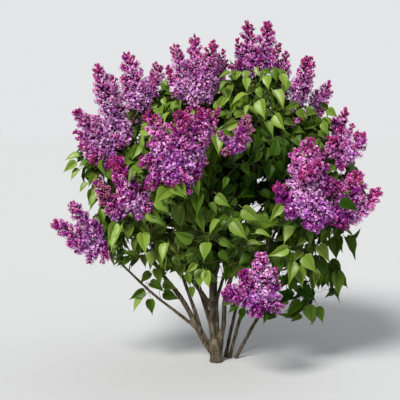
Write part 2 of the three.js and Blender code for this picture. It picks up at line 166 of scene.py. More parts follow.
# The heads of blossom: tip, foot and width in millimetres, then how far up the head the florets
# are open, and how pale they are: partly the head's own age, partly painted shade, set lower on heads
# in shadow.
HEADS = (
    ((-541, -120, 1398), (-470, -60, 1105), 110, 0.70, 0.59),
    ((-486, 20, 1358), (-435, -50, 1095), 93, 0.75, 0.64),
    ((-420, 60, 1459), (-330, -10, 1185), 127, 0.65, 0.55),
    ((-643, -120, 1191), (-495, -50, 1020), 102, 0.75, 0.62),
    ((-568, -20, 1165), (-470, -50, 1010), 92, 0.75, 0.64),
    ((-663, 0, 1099), (-505, -50, 1005), 83, 0.60, 0.45),
    ((-287, 150, 1428), (-325, 100, 1255), 60, 0.50, 0.55),
    ((-193, -150, 1485), (-125, -90, 1240), 92, 0.60, 0.70),
    ((-100, -60, 1530), (-85, -100, 1220), 110, 0.60, 0.61),
    ((-16, -150, 1500), (-55, -90, 1220), 101, 0.55, 0.61),
    ((-227, 10, 1394), (-135, -80, 1225), 68, 0.40, 0.46),
    ((46, -20, 1418), (-63, -80, 1237), 93, 0.60, 0.56),
    ((-294, -400, 1181), (-201, -440, 964), 108, 0.50, 0.50),
    ((-156, -500, 1180), (-170, -480, 934), 115, 0.50, 0.35),
    ((-64, -440, 1192), (-120, -460, 964), 107, 0.55, 0.50),
    ((4, -380, 1201), (-98, -430, 986), 70, 0.50, 0.50),
    ((-140, -500, 904), (-160, -480, 1040), 110, 1.00, 0.39),
    ((-323, -400, 968), (-210, -430, 985), 92, 0.50, 0.19),
    ((-77, -430, 949), (-140, -450, 1005), 85, 0.70, 0.39),
    ((-448, -290, 985), (-340, -310, 750), 118, 0.38, 0.16),
    ((-421, -340, 804), (-319, -310, 781), 96, 0.95, 0.75),
    ((-533, -280, 884), (-418, -270, 712), 90, 0.25, 0.10),
    ((-651, -230, 782), (-525, -180, 619), 91, 0.70, 0.34),
    ((-741, -150, 683), (-525, -180, 550), 117, 0.75, 0.39),
    ((-520, -190, 510), (-499, -175, 563), 56, 0.05, 0.05),
    ((136, -90, 1592), (170, -20, 1370), 94, 0.55, 0.40),
    ((237, 60, 1603), (210, -10, 1370), 105, 0.50, 0.40),
    ((90, -60, 1415), (175, -30, 1350), 66, 0.70, 0.40),
    ((325, 40, 1470), (315, 30, 1325), 60, 0.30, 0.33),
    ((413, -90, 1431), (370, -30, 1212), 104, 0.55, 0.66),
    ((455, 40, 1423), (388, -20, 1225), 64, 0.30, 0.43),
    ((537, 90, 1332), (468, 30, 1206), 66, 0.60, 0.50),
    ((595, -60, 1194), (550, 0, 1055), 70, 0.50, 0.50),
    ((391, -350, 1069), (385, -400, 745), 130, 0.70, 0.73),
    ((342, -310, 1020), (362, -380, 808), 112, 0.65, 0.73),
    ((254, -330, 871), (351, -370, 744), 94, 0.60, 0.24),
    ((490, -340, 895), (401, -380, 799), 100, 0.80, 0.34),
    ((422, -470, 701), (375, -400, 830), 118, 1.80, 0.38),
    ((497, -240, 1071), (575, -180, 970), 89, 0.45, 0.45),
    ((664, -120, 1089), (580, -180, 970), 99, 0.55, 0.50),
    ((550, -210, 935), (585, -190, 1025), 73, 0.70, 0.55),
    ((618, -240, 912), (565, -260, 730), 121, 0.40, 0.56),
    ((725, -190, 841), (570, -250, 700), 106, 0.45, 0.60),
    ((547, -320, 692), (550, -260, 800), 112, 0.80, 0.27),
    ((187, -430, 578), (171, -450, 368), 116, 1.00, 0.67),
    ((26, -440, 417), (166, -450, 388), 100, 0.85, 0.20),
    ((99, -490, 515), (170, -460, 380), 94, 0.75, 0.18),
    ((245, -400, 518), (186, -440, 373), 68, 0.75, 0.20),
    ((166, -475, 333), (160, -465, 434), 104, 1.20, 0.28),
    ((261, -425, 349), (180, -445, 424), 93, 0.95, 0.08),
    ((124, -440, 1167), (75, -430, 1015), 84, 0.50, 0.13),
    ((20, -440, 1012), (78, -430, 1045), 56, 0.45, 0.13),
    ((385, -150, 1160), (330, -140, 1125), 30, 0.30, 0.50),
    ((-226, 20, 1406), (-203, 10, 1317), 42, 0.30, 0.36),
    ((-305, 0, 1368), (-277, -10, 1256), 42, 0.30, 0.30),
    ((-168, -60, 1469), (-146, -70, 1387), 32, 0.25, 0.41),
    ((32, -70, 1468), (-22, -80, 1336), 64, 0.35, 0.46),
    ((-113, -170, 1204), (-104, -130, 1312), 63, 1.00, 0.85),
    ((-199, -130, 1258), (-145, -110, 1331), 55, 0.95, 0.81),
    ((-405, -110, 1046), (-420, -80, 1155), 60, 0.95, 0.75),
    ((92, -50, 1519), (136, -20, 1385), 65, 0.45, 0.35),
    ((292, -20, 1499), (229, -10, 1367), 61, 0.35, 0.33),
    ((183, -70, 1468), (181, -40, 1361), 74, 0.60, 0.35),
    ((-579, -110, 968), (-501, -60, 1031), 92, 0.60, 0.40),
    ((-505, -80, 930), (-479, -50, 1012), 69, 0.90, 0.30),
    ((-395, -60, 1141), (-442, -50, 1058), 46, 0.75, 0.72),
    ((-189, -500, 886), (-193, -470, 993), 103, 1.00, 0.44),
    ((-284, -430, 868), (-225, -430, 965), 75, 0.60, 0.14),
    ((-123, -480, 847), (-131, -470, 926), 50, 1.00, 0.49),
    ((-85, -450, 899), (-106, -460, 988), 58, 0.90, 0.29),
    ((-35, -400, 1192), (-65, -440, 1083), 50, 0.50, 0.50),
    ((-234, -490, 993), (-222, -470, 1067), 66, 0.90, 0.55),
    ((-298, -330, 761), (-338, -310, 833), 78, 0.90, 0.45),
    ((-662, -230, 594), (-572, -200, 617), 67, 0.80, 0.34),
    ((-575, -220, 511), (-545, -200, 585), 62, 0.95, 0.44),
    ((599, -30, 1210), (568, 0, 1062), 51, 0.30, 0.50),
    ((460, -220, 986), (531, -190, 1030), 62, 0.50, 0.60),
    ((553, -200, 927), (549, -190, 1016), 58, 1.00, 0.30),
    ((504, 30, 1276), (482, 30, 1211), 57, 0.70, 0.60),
    ((472, -360, 962), (426, -390, 869), 51, 0.80, 0.27),
    ((480, -470, 741), (426, -400, 819), 67, 1.80, 0.36),
    ((291, -440, 742), (357, -400, 810), 67, 1.80, 0.36),
    ((374, -490, 701), (382, -410, 773), 59, 1.80, 0.31),
    ((486, -300, 876), (567, -270, 746), 66, 0.30, 0.41),
    ((477, -320, 703), (543, -280, 778), 61, 0.90, 0.27),
    ((-436, -70, 1026), (-479, -40, 1178), 93, 1.00, 0.67),
    ((-2, -440, 1096), (49, -430, 1054), 46, 0.50, 0.50),
    ((96, -90, 1413), (154, -20, 1399), 51, 0.70, 0.45),
    ((317, 40, 1421), (257, 0, 1400), 52, 0.50, 0.35),
    ((450, 60, 1445), (418, 20, 1364), 38, 0.30, 0.43),
    ((-436, 10, 1354), (-384, -10, 1206), 70, 0.65, 0.60),
    ((-261, 60, 1403), (-275, 50, 1309), 52, 0.30, 0.25),
    ((-630, -80, 1036), (-520, -60, 984), 74, 0.50, 0.40),
    ((473, 40, 1286), (444, 30, 1206), 57, 0.70, 0.73),
    ((321, -20, 1334), (308, -20, 1242), 56, 0.90, 0.60),
    ((562, -100, 1114), (569, -120, 1014), 64, 0.50, 0.50),
    ((507, -200, 1030), (545, -190, 981), 54, 0.60, 0.50),
    ((527, -290, 884), (560, -280, 800), 52, 0.30, 0.41),
    ((-306, -420, 863), (-254, -430, 940), 59, 0.60, 0.24),
    ((-288, -420, 1053), (-245, -440, 1004), 51, 0.55, 0.45),
    ((-123, -450, 1200), (-127, -460, 1088), 63, 0.45, 0.45),
    ((-471, -280, 963), (-392, -300, 793), 61, 0.38, 0.16),
    ((-344, -310, 719), (-348, -300, 802), 61, 0.90, 0.55),
    ((262, -400, 448), (222, -430, 423), 50, 1.15, 0.25),
    ((-497, -190, 579), (-542, -190, 611), 58, 1.00, 0.37),
    ((376, -480, 947), (388, -390, 908), 84, 0.35, 0.40),
    ((543, -40, 1155), (578, 0, 1066), 61, 0.70, 0.50),
    ((344, -470, 926), (362, -390, 891), 67, 0.35, 0.40),
    ((416, -460, 971), (427, -380, 933), 63, 0.35, 0.40),
    ((-343, -320, 729), (-348, -310, 772), 61, 1.80, 0.40),
    ((330, 30, 1374), (267, 10, 1391), 42, 0.50, 0.35),
    ((56, -60, 1392), (117, -30, 1389), 42, 0.70, 0.40),
    ((346, -60, 1219), (398, -40, 1260), 46, 0.90, 0.60),
    ((548, 70, 1282), (497, 40, 1253), 38, 0.50, 0.50),
    ((627, -60, 1132), (601, -60, 1058), 46, 0.40, 0.45),
    ((-638, -215, 560), (-573, -195, 580), 40, 0.90, 0.39),
    ((-546, -185, 696), (-533, -185, 610), 45, 0.60, 0.37),
    ((-48, -430, 970), (-85, -440, 991), 38, 0.70, 0.39),
)
# The eye before the bush, how far it looks down, and the camera's lens and sensor in millimetres.
FRONT_EYE = np.array((-0.077, -4.25, 1.15))
CAMERA_PITCH = math.radians(5.04)
CAMERA_LENS = 81.6
CAMERA_SENSOR = 36

CROWN_CENTRE = np.array((-15, 30, 880)) * MM
CROWN_RADII = np.array((690, 650, 620)) * MM
# The trusses behind stand round the crown at even turns, each at a height of its own.
BACK_TRUSSES = 8
BACK_FIRST = math.radians(12)
BACK_STEP = math.radians(20)
BACK_LOW = math.radians(-14)
BACK_SPAN = math.radians(60)
BACK_CLIMB_START = 13
GOLDEN_FRACTION = 0.618
BACK_FOOT_SHARE = 0.69
# The side, length, lift and openness of each head of such a truss.
BACK_HEADS = ((-0.5, 0.255, 0.55, 0.5), (0.5, 0.245, 0.55, 0.5), (0.0, 0.205, -0.35, 0.9))
BACK_LEAN = 0.84
BACK_FEET_APART = 0.05
BACK_WIDTH = 0.115
BACK_PALE = 0.35
BACK_PALE_SPAN = 0.4
BACK_EYE_DISTANCE = 4

# Odd directions, from which the first side of a tube, a leaf pair, a knob and a flower is taken.
TUBE_SIDE = (0.31, 0.87, 0.23)
LEAF_SIDE = (0.3, 0.2, 0.93)
KNOB_SIDE = (0.2, 0.31, 0.11)
FLOWER_SIDE = (0.4, 0.13, 0.37)

STEM_NODES = sorted(LIMBS)
MASS_NODES = sorted(name for name in frame["nodes"] if name.startswith("foliage_"))
BLOSSOM_NODES = sorted(name for name in frame["nodes"] if name.startswith("blossom_"))


# ---------------------------------------------------------------- small maths


def unit(vectors):
    """The vectors at length one."""
    return vectors / np.maximum(np.linalg.norm(vectors, axis=-1, keepdims=True), 1e-9)


def across(vectors, rng):
    """A random direction at right angles to each vector."""
    return unit(np.cross(vectors, rng.normal(size=np.shape(vectors))))


def smooth_path(rows, step):
    """Points along a smooth curve through the rows, about step apart in their first three columns."""
    rows = np.asarray(rows, float)
    knots = np.vstack((2 * rows[0] - rows[1], rows, 2 * rows[-1] - rows[-2]))
    found = []
    for a, b, c, d in zip(knots, knots[1:], knots[2:], knots[3:]):
        count = max(2, math.ceil(np.linalg.norm((c - b)[:3]) / step))
        t = np.arange(count)[:, None] / count
        curve = 2 * b + (c - a) * t + (2 * a - 5 * b + 4 * c - d) * t**2 + (3 * b - a - 3 * c + d) * t**3
        found.append(curve / 2)
    found.append(rows[-1:])
    return np.vstack(found)


def turns_of(x, y, z):
    """Unit quaternions, w first, that carry the axes to x, y and z."""
    w = np.sqrt(np.maximum(0, 1 + x[:, 0] + y[:, 1] + z[:, 2])) / 2
    a = np.sqrt(np.maximum(0, 1 + x[:, 0] - y[:, 1] - z[:, 2])) / 2
    b = np.sqrt(np.maximum(0, 1 - x[:, 0] + y[:, 1] - z[:, 2])) / 2
    c = np.sqrt(np.maximum(0, 1 - x[:, 0] - y[:, 1] + z[:, 2])) / 2
    a = np.copysign(a, y[:, 2] - z[:, 1])
    b = np.copysign(b, z[:, 0] - x[:, 2])
    c = np.copysign(c, x[:, 1] - y[:, 0])
    return unit(np.stack((w, a, b, c), axis=1))


def around(way, start, angle):
    """Directions at right angles to way, turned about it by each angle from the side of start."""
    side = unit(np.cross(way, start))
    angle = np.asarray(angle)[..., None]
    return np.cos(angle) * side + np.sin(angle) * np.cross(way, side)


def smoothstep(low, high, value):
    """Runs from nought at low to one at high, which may be the lesser, with level ends."""
    t = np.clip((value - low) / (high - low), 0, 1)
    return t * t * (3 - 2 * t)


def from_within(rows, column, height):
    """The rows in order of how far their point in the column is from the stems at this height."""
    return sorted(rows, key=lambda row: np.linalg.norm(row[column] - (0, 0, height)))


# ---------------------------------------------------------------- meshes, materials and scattering


PLAIN_GLOSS = 0.22
BARK_ROUGHNESS = 0.88
BARK_GLOSS = 0.25
# Scale, stretch and detail of the bark's furrows, flakes and grain.
BARK_PATTERNS = ((150, 0.15, 5), (38, 0.5, 3), (420, 0.4, 2))
BARK_RAMP = (0.40, 0.64)
FLAKE_RANGE = {"From Min": 0.52, "From Max": 0.68, "To Max": 0.6}
GRAIN_SHARE = 0.35
BUMP_DEPTH = 0.0012
BUMP_STRENGTH = 0.7
SCATTER_INPUTS = (
    ("Geometry", "Geometry"),
    ("Shapes", "Collection"),
    ("Smallest size", "Float"),
    ("Largest size", "Float"),
    ("Free spin", "Float"),
    ("Seed", "Int"),
    ("Face material", "Material"),
    ("Stalk material", "Material"),
)


def tubes_mesh(name, tubes):
    """A mesh of tubes, each given as its points, its radii and its number of sides, with closed ends."""
    places, faces, first = [], [], 0
    for points, radii, sides in tubes:
        along = unit(np.gradient(points, axis=0))
        side = unit(np.cross(along[0], TUBE_SIDE))
        angle = np.arange(sides)[:, None] * TURN / sides
        for point, way, radius in zip(points, along, radii):
            side = unit(side - way * (side @ way))
            other = np.cross(way, side)
            places.append(point + radius * (np.cos(angle) * side + np.sin(angle) * other))
        for ring in range(len(points) - 1):
            low = first + ring * sides
            for k in range(sides):
                m = (k + 1) % sides
                faces.append((low + k, low + m, low + sides + m, low + sides + k))
        faces.append(tuple(first + k for k in reversed(range(sides))))
        last = first + (len(points) - 1) * sides
        faces.append(tuple(last + k for k in range(sides)))
        first += len(points) * sides
    mesh = bpy.data.meshes.new(name)
    mesh.from_pydata(np.vstack(places).tolist(), [], faces)
    mesh.polygons.foreach_set("use_smooth", [True] * len(mesh.polygons))
    return mesh


def shown(name, mesh, nodes):
    """Puts a finished mesh in the scene as a piece that rides on the body and stands for the nodes."""
    piece = bpy.data.objects.new(name, mesh)
    bpy.context.scene.collection.objects.link(piece)
    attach(piece, BODY)
    if nodes:
        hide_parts(*nodes)
    return piece


def evaluated(holder):
    """The holder's mesh with its modifiers applied. The holder goes."""
    holder_mesh = holder.data
    graph = bpy.context.evaluated_depsgraph_get()
    mesh = bpy.data.meshes.new_from_object(holder.evaluated_get(graph))
    bpy.data.objects.remove(holder)
    bpy.data.meshes.remove(holder_mesh)
    return mesh


def new_material(name, roughness, gloss):
    """A material and its shader."""
    material = bpy.data.materials.new(name)
    material.use_nodes = True
    shader = material.node_tree.nodes["Principled BSDF"]
    shader.inputs["Roughness"].default_value = roughness
    shader.inputs["Specular IOR Level"].default_value = gloss
    return material, shader


def plain_material(name, colour, roughness, gloss=PLAIN_GLOSS):
    """A material of one colour, for leaves, petals and twigs."""
    material, shader = new_material(name, roughness, gloss)
    shader.inputs["Base Color"].default_value = (*colour, 1)
    return material


def socket_of(sockets, name):
    """The socket in use that has this name or number."""
    if isinstance(name, int):
        return sockets[name]
    return next(s for s in sockets if s.name == name and s.enabled)


def output_of(tree, kind, output, given=(), **settings):
    """The output of a new node, whose given inputs take values or other nodes' outputs."""
    node = tree.nodes.new(kind)
    for name, value in settings.items():
        setattr(node, name, value)
    for name, value in dict(given).items():
        socket = socket_of(node.inputs, name)
        if isinstance(value, bpy.types.NodeSocket):
            tree.links.new(value, socket)
        else:
            socket.default_value = value
    return socket_of(node.outputs, output)


def bark_material(settings):
    """Grey-brown bark with long furrows, paler flakes and a fine grain."""
    material, shader = new_material("lilac_bark", BARK_ROUGHNESS, BARK_GLOSS)
    add = functools.partial(output_of, material.node_tree)
    place = add("ShaderNodeTexCoord", "Object")

    def pattern(scale, stretch, detail):
        size = (scale, scale, scale * stretch)
        drawn_out = add("ShaderNodeMapping", "Vector", {"Vector": place, "Scale": size})
        return add("ShaderNodeTexNoise", "Fac", {"Vector": drawn_out, "Scale": 1.0, "Detail": detail})

    furrows, flakes, grain = (pattern(*row) for row in BARK_PATTERNS)
    # The furrows are darker partly in the bark's own colour and partly as painted shade in them.
    colour = add("ShaderNodeValToRGB", "Color", {"Fac": furrows})
    tones_and_painted_shade = (settings.bark_furrow, settings.bark_ridge)
    for element, position, tone in zip(colour.node.color_ramp.elements, BARK_RAMP, tones_and_painted_shade):
        element.position = position
        element.color = (*tone, 1)
    amount = add("ShaderNodeMapRange", "Result", {"Value": flakes, **FLAKE_RANGE})
    patch = {"Factor": amount, "A": colour, "B": (*settings.bark_flake, 1)}
    flaked = add("ShaderNodeMix", "Result", patch, data_type="RGBA")
    height = {0: grain, 1: GRAIN_SHARE, 2: furrows}
    height = add("ShaderNodeMath", "Value", height, operation="MULTIPLY_ADD")
    bump = {"Height": height, "Distance": BUMP_DEPTH, "Strength": BUMP_STRENGTH}
    links = material.node_tree.links
    links.new(flaked, shader.inputs["Base Color"])
    links.new(add("ShaderNodeBump", "Normal", bump), shader.inputs["Normal"])
    return material


@functools.lru_cache
def scatter_tree():
    """Geometry nodes that set one of the shapes on each point, turned and sized as the point says."""
    tree = bpy.data.node_groups.new("Scatter shapes on points", "GeometryNodeTree")
    tree.interface.new_socket("Geometry", in_out="OUTPUT", socket_type="NodeSocketGeometry")
    for name, kind in SCATTER_INPUTS:
        tree.interface.new_socket(name, in_out="INPUT", socket_type=f"NodeSocket{kind}")
    given = tree.nodes.new("NodeGroupInput").outputs
    add = functools.partial(output_of, tree)

    def stored(name, kind):
        return add("GeometryNodeInputNamedAttribute", "Attribute", {"Name": name}, data_type=kind)

    def drawn(**limits):
        return add("FunctionNodeRandomValue", "Value", {**limits, "Seed": given["Seed"]})

    def painted(geometry, material, **limits):
        looks = {"Geometry": geometry, "Material": given[material], **limits}
        return add("GeometryNodeSetMaterial", "Geometry", looks)

    shapes = {"Collection": given["Shapes"], "Separate Children": True, "Reset Children": True}
    factor = drawn(Min=given["Smallest size"], Max=given["Largest size"])
    size = {0: stored("size", "FLOAT_VECTOR"), "Scale": factor}
    spin = {"Axis": (0, 0, 1), "Angle": drawn(Max=given["Free spin"])}
    spin = add("FunctionNodeAxisAngleToRotation", "Rotation", spin)
    turn = {"Rotation": stored("turn", "QUATERNION"), "Rotate By": spin}
    placing = {
        "Points": given["Geometry"],
        "Instance": add("GeometryNodeCollectionInfo", "Instances", shapes),
        "Pick Instance": True,
        "Instance Index": stored("shape", "INT"),
        "Rotation": add("FunctionNodeRotateRotation", "Rotation", turn, rotation_space="LOCAL"),
        "Scale": add("ShaderNodeVectorMath", "Vector", size, operation="SCALE"),
    }
    placed = add("GeometryNodeInstanceOnPoints", "Instances", placing)
    real = add("GeometryNodeRealizeInstances", "Geometry", {"Geometry": placed})
    faces = painted(real, "Face material")
    whole = painted(faces, "Stalk material", Selection=stored("stalk", "BOOLEAN"))
    tree.links.new(whole, tree.nodes.new("NodeGroupOutput").inputs["Geometry"])
    return tree


def scattered(name, shapes, points, turns, sizes, picks, **inputs):
    """The mesh of the shapes on all the points, as plain triangles and quads, with the tree's inputs."""
    mesh = bpy.data.meshes.new(name)
    mesh.vertices.add(len(points))
    mesh.vertices.foreach_set("co", np.asarray(points, np.float32).ravel())
    for label, kind, field, values in (
        ("turn", "QUATERNION", "value", np.asarray(turns, np.float32)),
        ("size", "FLOAT_VECTOR", "vector", np.asarray(sizes, np.float32)),
        ("shape", "INT", "value", np.asarray(picks, np.int32)),
    ):
        stored = mesh.attributes.new(label, kind, "POINT")
        stored.data.foreach_set(field, values.ravel())
    holder = bpy.data.objects.new(name, mesh)
    bpy.context.scene.collection.objects.link(holder)
    modifier = holder.modifiers.new("Scatter", "NODES")
    modifier.node_group = scatter_tree()
    inputs["shapes"] = shapes
    for item in modifier.node_group.interface.items_tree:
        label = item.name.lower().replace(" ", "_")
        if item.in_out == "INPUT" and label in inputs:
            modifier[item.identifier] = inputs[label]
    done = evaluated(holder)
    for label in ("turn", "size", "shape", "stalk"):
        if label in done.attributes:
            done.attributes.remove(done.attributes[label])
    if not done.polygons:
        raise RuntimeError(f"{name} came out with no faces")
    return done


def shape_object(name, places, faces, stalk_faces, smooth, crease=0):
    """A small shape for scattering. Its last faces are its stalk's, and a crease joins its first points."""
    mesh = bpy.data.meshes.new(name)
    mesh.from_pydata([tuple(p) for p in places], [], faces)
    for edge in mesh.edges:
        edge.use_edge_sharp = max(edge.vertices) < crease
    mesh.polygons.foreach_set("use_smooth", [smooth] * len(faces))
    marks = mesh.attributes.new("stalk", "BOOLEAN", "FACE")
    marks.data.foreach_set("value", [i >= len(faces) - stalk_faces for i in range(len(faces))])
    return bpy.data.objects.new(name, mesh)


def shape_collection(name, shapes):
    """A collection of shapes that stays outside the scene."""
    group = bpy.data.collections.new(name)
    for shape in shapes:
        group.objects.link(shape)
    return group


# ---------------------------------------------------------------- shapes


LEAF_RIB = (0.0, 0.1, 0.25, 0.43, 0.62, 0.81, 1.0)
LEAF_EDGE = ((0.13, -0.05), (0.280, 0.06), (0.330, 0.22), (0.275, 0.42), (0.140, 0.63), (0.040, 0.82))
LEAF_STALK = 0.26
# First bend, further curl, fold, width and sideways sweep of each kind of leaf.
LEAF_KINDS = (
    (0.15, 0.45, 0.58, 1.05, 0.05),
    (0.35, 0.55, 0.42, 1.02, -0.10),
    (0.20, 1.00, 0.58, 0.98, 0.12),
    (0.50, 0.40, 0.66, 0.96, -0.05),
    (0.10, 0.30, 0.46, 1.10, 0.06),
    (0.30, 0.80, 0.62, 0.86, 0.16),
)
RIB_STEPS = 12
# How the row between midrib and edge is mixed from both, and its rise and ripple above the fold.
BLADE_MIX = (0.55, 0.45)
BLADE_SWELL = (0.026, 0.017)
# Height and pace of the waves along the edge, and how far the edge hangs.
EDGE_WAVE = (0.022, 2.4)
EDGE_DROP = 0.012
# Places along stalk and midrib, with the radius there.
RIB_MARKS = ((-LEAF_STALK, 0.016), (0.0, 0.013), (0.42, 0.010), (0.86, 0.003))


def leaf_rib(kind, t):
    """A point of the midrib and the way the blade faces there."""
    bend, curl, _, _, sweep = LEAF_KINDS[kind]
    run = np.array((0.0, LEAF_STALK, 0.0))
    for k in range(RIB_STEPS):
        part = t * (k + 0.5) / RIB_STEPS
        slope = -(bend + curl * part)
        run = run + np.array((sweep * part, math.cos(slope), math.sin(slope))) * t / RIB_STEPS
    angle = -(bend + curl * t)
    return run, np.array((0, -math.sin(angle), math.cos(angle)))


def leaf_shape(index):
    """A heart-shaped leaf with a drawn-out tip. It grows along Y from its stalk's foot, with its face up."""
    _, _, fold, width, _ = LEAF_KINDS[index]
    on_rib = functools.partial(leaf_rib, index)

    def beside(x, t, lift):
        place, normal = on_rib(t)
        side = np.array((math.cos(fold) * math.copysign(1, x), 0, 0)) + normal * math.sin(fold)
        return place + side * abs(x) + normal * lift

    places = [on_rib(t)[0] for t in LEAF_RIB]
    for hand in (1, -1):
        for k, (x, t) in enumerate(LEAF_EDGE):
            middle = BLADE_MIX[0] * t + BLADE_MIX[1] * LEAF_RIB[k]
            lift = BLADE_SWELL[0] + BLADE_SWELL[1] * (-1) ** k
            places.append(beside(hand * x * width * 0.5, middle, lift))
        for k, (x, t) in enumerate(LEAF_EDGE):
            wave = EDGE_WAVE[0] * math.sin(EDGE_WAVE[1] * k + index + hand)
            places.append(beside(hand * x * width, t, wave - EDGE_DROP))
    rows = len(LEAF_EDGE)
    faces = []
    for hand in (0, 1):
        middle = len(LEAF_RIB) + hand * 2 * rows
        edge = middle + rows
        quads = []
        for k in range(rows - 1):
            quads.append((k, middle + k, middle + k + 1, k + 1))
            quads.append((middle + k, edge + k, edge + k + 1, middle + k + 1))
        quads.append((rows - 1, middle + rows - 1, rows))
        quads.append((middle + rows - 1, edge + rows - 1, rows))
        faces += [quad[::-1] if hand else quad for quad in quads]
    first = len(places)
    for t, radius in RIB_MARKS:
        place, normal = on_rib(max(t, 0))
        if t < 0:
            place = np.zeros(3)
        for k in range(3):
            angle = TURN * k / 3 + math.pi / 2
            places.append(place + radius * (np.array((math.cos(angle), 0, 0)) + normal * math.sin(angle)))
    stalk_faces = 3 * (len(RIB_MARKS) - 1)
    for ring in range(len(RIB_MARKS) - 1):
        low = first + 3 * ring
        for k in range(3):
            m = (k + 1) % 3
            faces.append((low + k, low + 3 + k, low + 3 + m, low + m))
    return shape_object(f"leaf_shape_{index}", places, faces, stalk_faces, True, len(LEAF_RIB))


# Rise of the shoulders and of the tips of each kind of floret, its lobes' width and its turn.
FLORET_KINDS = (
    (0.05, -0.02, 1.0, 0.0),
    (0.10, 0.13, 0.9, 0.4),
    (0.03, -0.10, 1.05, 0.9),
    (0.14, 0.28, 0.8, 0.2),
)


def floret_shape(index, shoulder, tip, wide, start):
    """An open floret with four lobes, looking along Z, on a tube that reaches back one unit."""
    places, faces = [], []
    corners = ((0.03, 0.0, 0.0), (0.29, -0.18, shoulder), (0.50, 0.0, tip), (0.29, 0.18, shoulder))
    for lobe in range(4):
        angle = start + lobe * TURN / 4
        out = np.array((math.cos(angle), math.sin(angle), 0))
        side = np.array((-math.sin(angle), math.cos(angle), 0))
        base = len(places)
        for reach, breadth, rise in corners:
            places.append(out * reach + side * breadth * wide + UP * rise)
        faces.append((base, base + 1, base + 2, base + 3))
    first = len(places)
    for k in range(3):
        angle = TURN * k / 3
        places.append(np.array((0.11 * math.cos(angle), 0.11 * math.sin(angle), 0.01)))
    places.append(np.array((0, 0, -1.0)))
    for k in range(3):
        faces.append((first + k, first + 3, first + (k + 1) % 3))
    return shape_object(f"floret_shape_{index}", places, faces, 3, False)


def bud_shape(index, shoulder):
    """A closed bud that tapers back one unit to its stalk."""
    places = [np.array((0, 0, -1.0))]
    for k in range(4):
        angle = TURN * k / 4 + 0.5 * index
        places.append(np.array((0.5 * math.cos(angle), 0.5 * math.sin(angle), shoulder)))
    places.append(np.array((0, 0, 0.06)))
    faces = []
    for k in range(4):
        m = (k + 1) % 4
        faces += [(0, 1 + m, 1 + k), (5, 1 + k, 1 + m)]
    return shape_object(f"bud_shape_{index}", places, faces, 0, True)


def knob_shape():
    """A knob's dark core, standing for its shut buds and painted as shade: a spindle along Z, one unit each
    way.
    """
    places = [-UP, UP] + [np.array((math.cos(TURN * k / 5), math.sin(TURN * k / 5), 0.25)) for k in range(5)]
    faces = []
    for k in range(5):
        m = 2 + (k + 1) % 5
        faces += [(0, m, 2 + k), (1, 2 + k, m)]
    return shape_object("knob_shape", places, faces, 0, True)


# ---------------------------------------------------------------- growth


# How far off a face of a mass is tested for lying inside another, and how near counts as on the skin.
PROBE = 0.004
SKIN = 0.003
# The most points the growing bush may have.
SKELETON_ROOM = 60000
TWIG_STEP = 0.03
TWIG_KINK = 0.0012
LONE_TWIG_RADIUS = 0.0012
PIPE_POWER = 2.4
TAPER = 0.97
# How a branch sets off between its parent's heading and the way to its end, and how far it bends.
LEAD_KEPT = 0.7
LEAD_TURNED = 0.8
BEND_SHARE = 0.35
LOWEST_BRANCH = 0.27
LOWEST_LEADER = 0.45
LEADER_REACH = 0.26
LEADER_RADIUS = 0.002
LEADER_TIP_SHARE = 0.35
BOUGH_TRIES = 3000
BOUGH_SPACING = 0.17
BOUGH_DEPTH = (0.10, 0.40)
BOUGH_RADIUS = 0.0015
# How much wider points are spaced for each metre further in.
DEEP_SPACING = 1.2
HEART_SHARE = 0.72
GAP_DEPTH = 0.10
# The heights on the stems from which shoots and heads are taken outwards.
GROWTH_HEART = 0.45
HEADS_HEART = 0.5
# The straight end of a head's twig and of a shoot, and the part of each that carries no branch.
HEAD_TWIG = 0.03
HEAD_LEAFY = 0.05
SHOOT_STRAIGHT = 0.07
SHOOT_LEAFY = 0.12
SHOOT_DEPTH = (0.018, 0.24)
SHOOT_PAIRS = (3, 6)
PLAN_SEED = 20


class CrownShape:
    """The outside of the CAD's leaf masses taken together."""

    def __init__(self):
        self.trees, self.boxes = [], []
        for name in MASS_NODES:
            self.trees.append(self.tree_of(self.loose_faces(name)))
            self.boxes.append(tuple(np.array(corner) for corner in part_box(name)))
        outside = []
        for k, name in enumerate(MASS_NODES):
            for corners in self.loose_faces(name):
                middle = corners.mean(axis=0)
                away = unit(np.cross(corners[1] - corners[0], corners[2] - corners[0]))
                if not self.holds(middle + away * PROBE, but=k):
                    outside.append(corners)
        self.skin = self.tree_of(outside)

    @staticmethod
    def loose_faces(name):
        """The corners of each triangle of the node."""
        mesh = frame["nodes"][name].data
        mesh.calc_loop_triangles()
        places = np.array([v.co for v in mesh.vertices])
        return [places[list(t.vertices)] for t in mesh.loop_triangles]

    @staticmethod
    def tree_of(faces):
        """The triangles, set out for quick search."""
        corners = np.arange(3 * len(faces)).reshape(-1, 3)
        return BVHTree.FromPolygons(np.vstack(faces).tolist(), corners.tolist())

    def holds(self, point, but=None):
        """True if one of the masses has the point inside it."""
        for k, (tree, (low, high)) in enumerate(zip(self.trees, self.boxes)):
            if k != but and (point > low).all() and (point < high).all():
                near, away, _, _ = tree.find_nearest(Vector(point))
                if (near - Vector(point)).dot(away) > 0:
                    return True
        return False

    def depth(self, point):
        """How far the point lies under the outside, and the way out."""
        near, away, _, distance = self.skin.find_nearest(Vector(point))
        way = unit(np.array(near) - point) if distance > SKIN else np.array(away)
        return distance, way


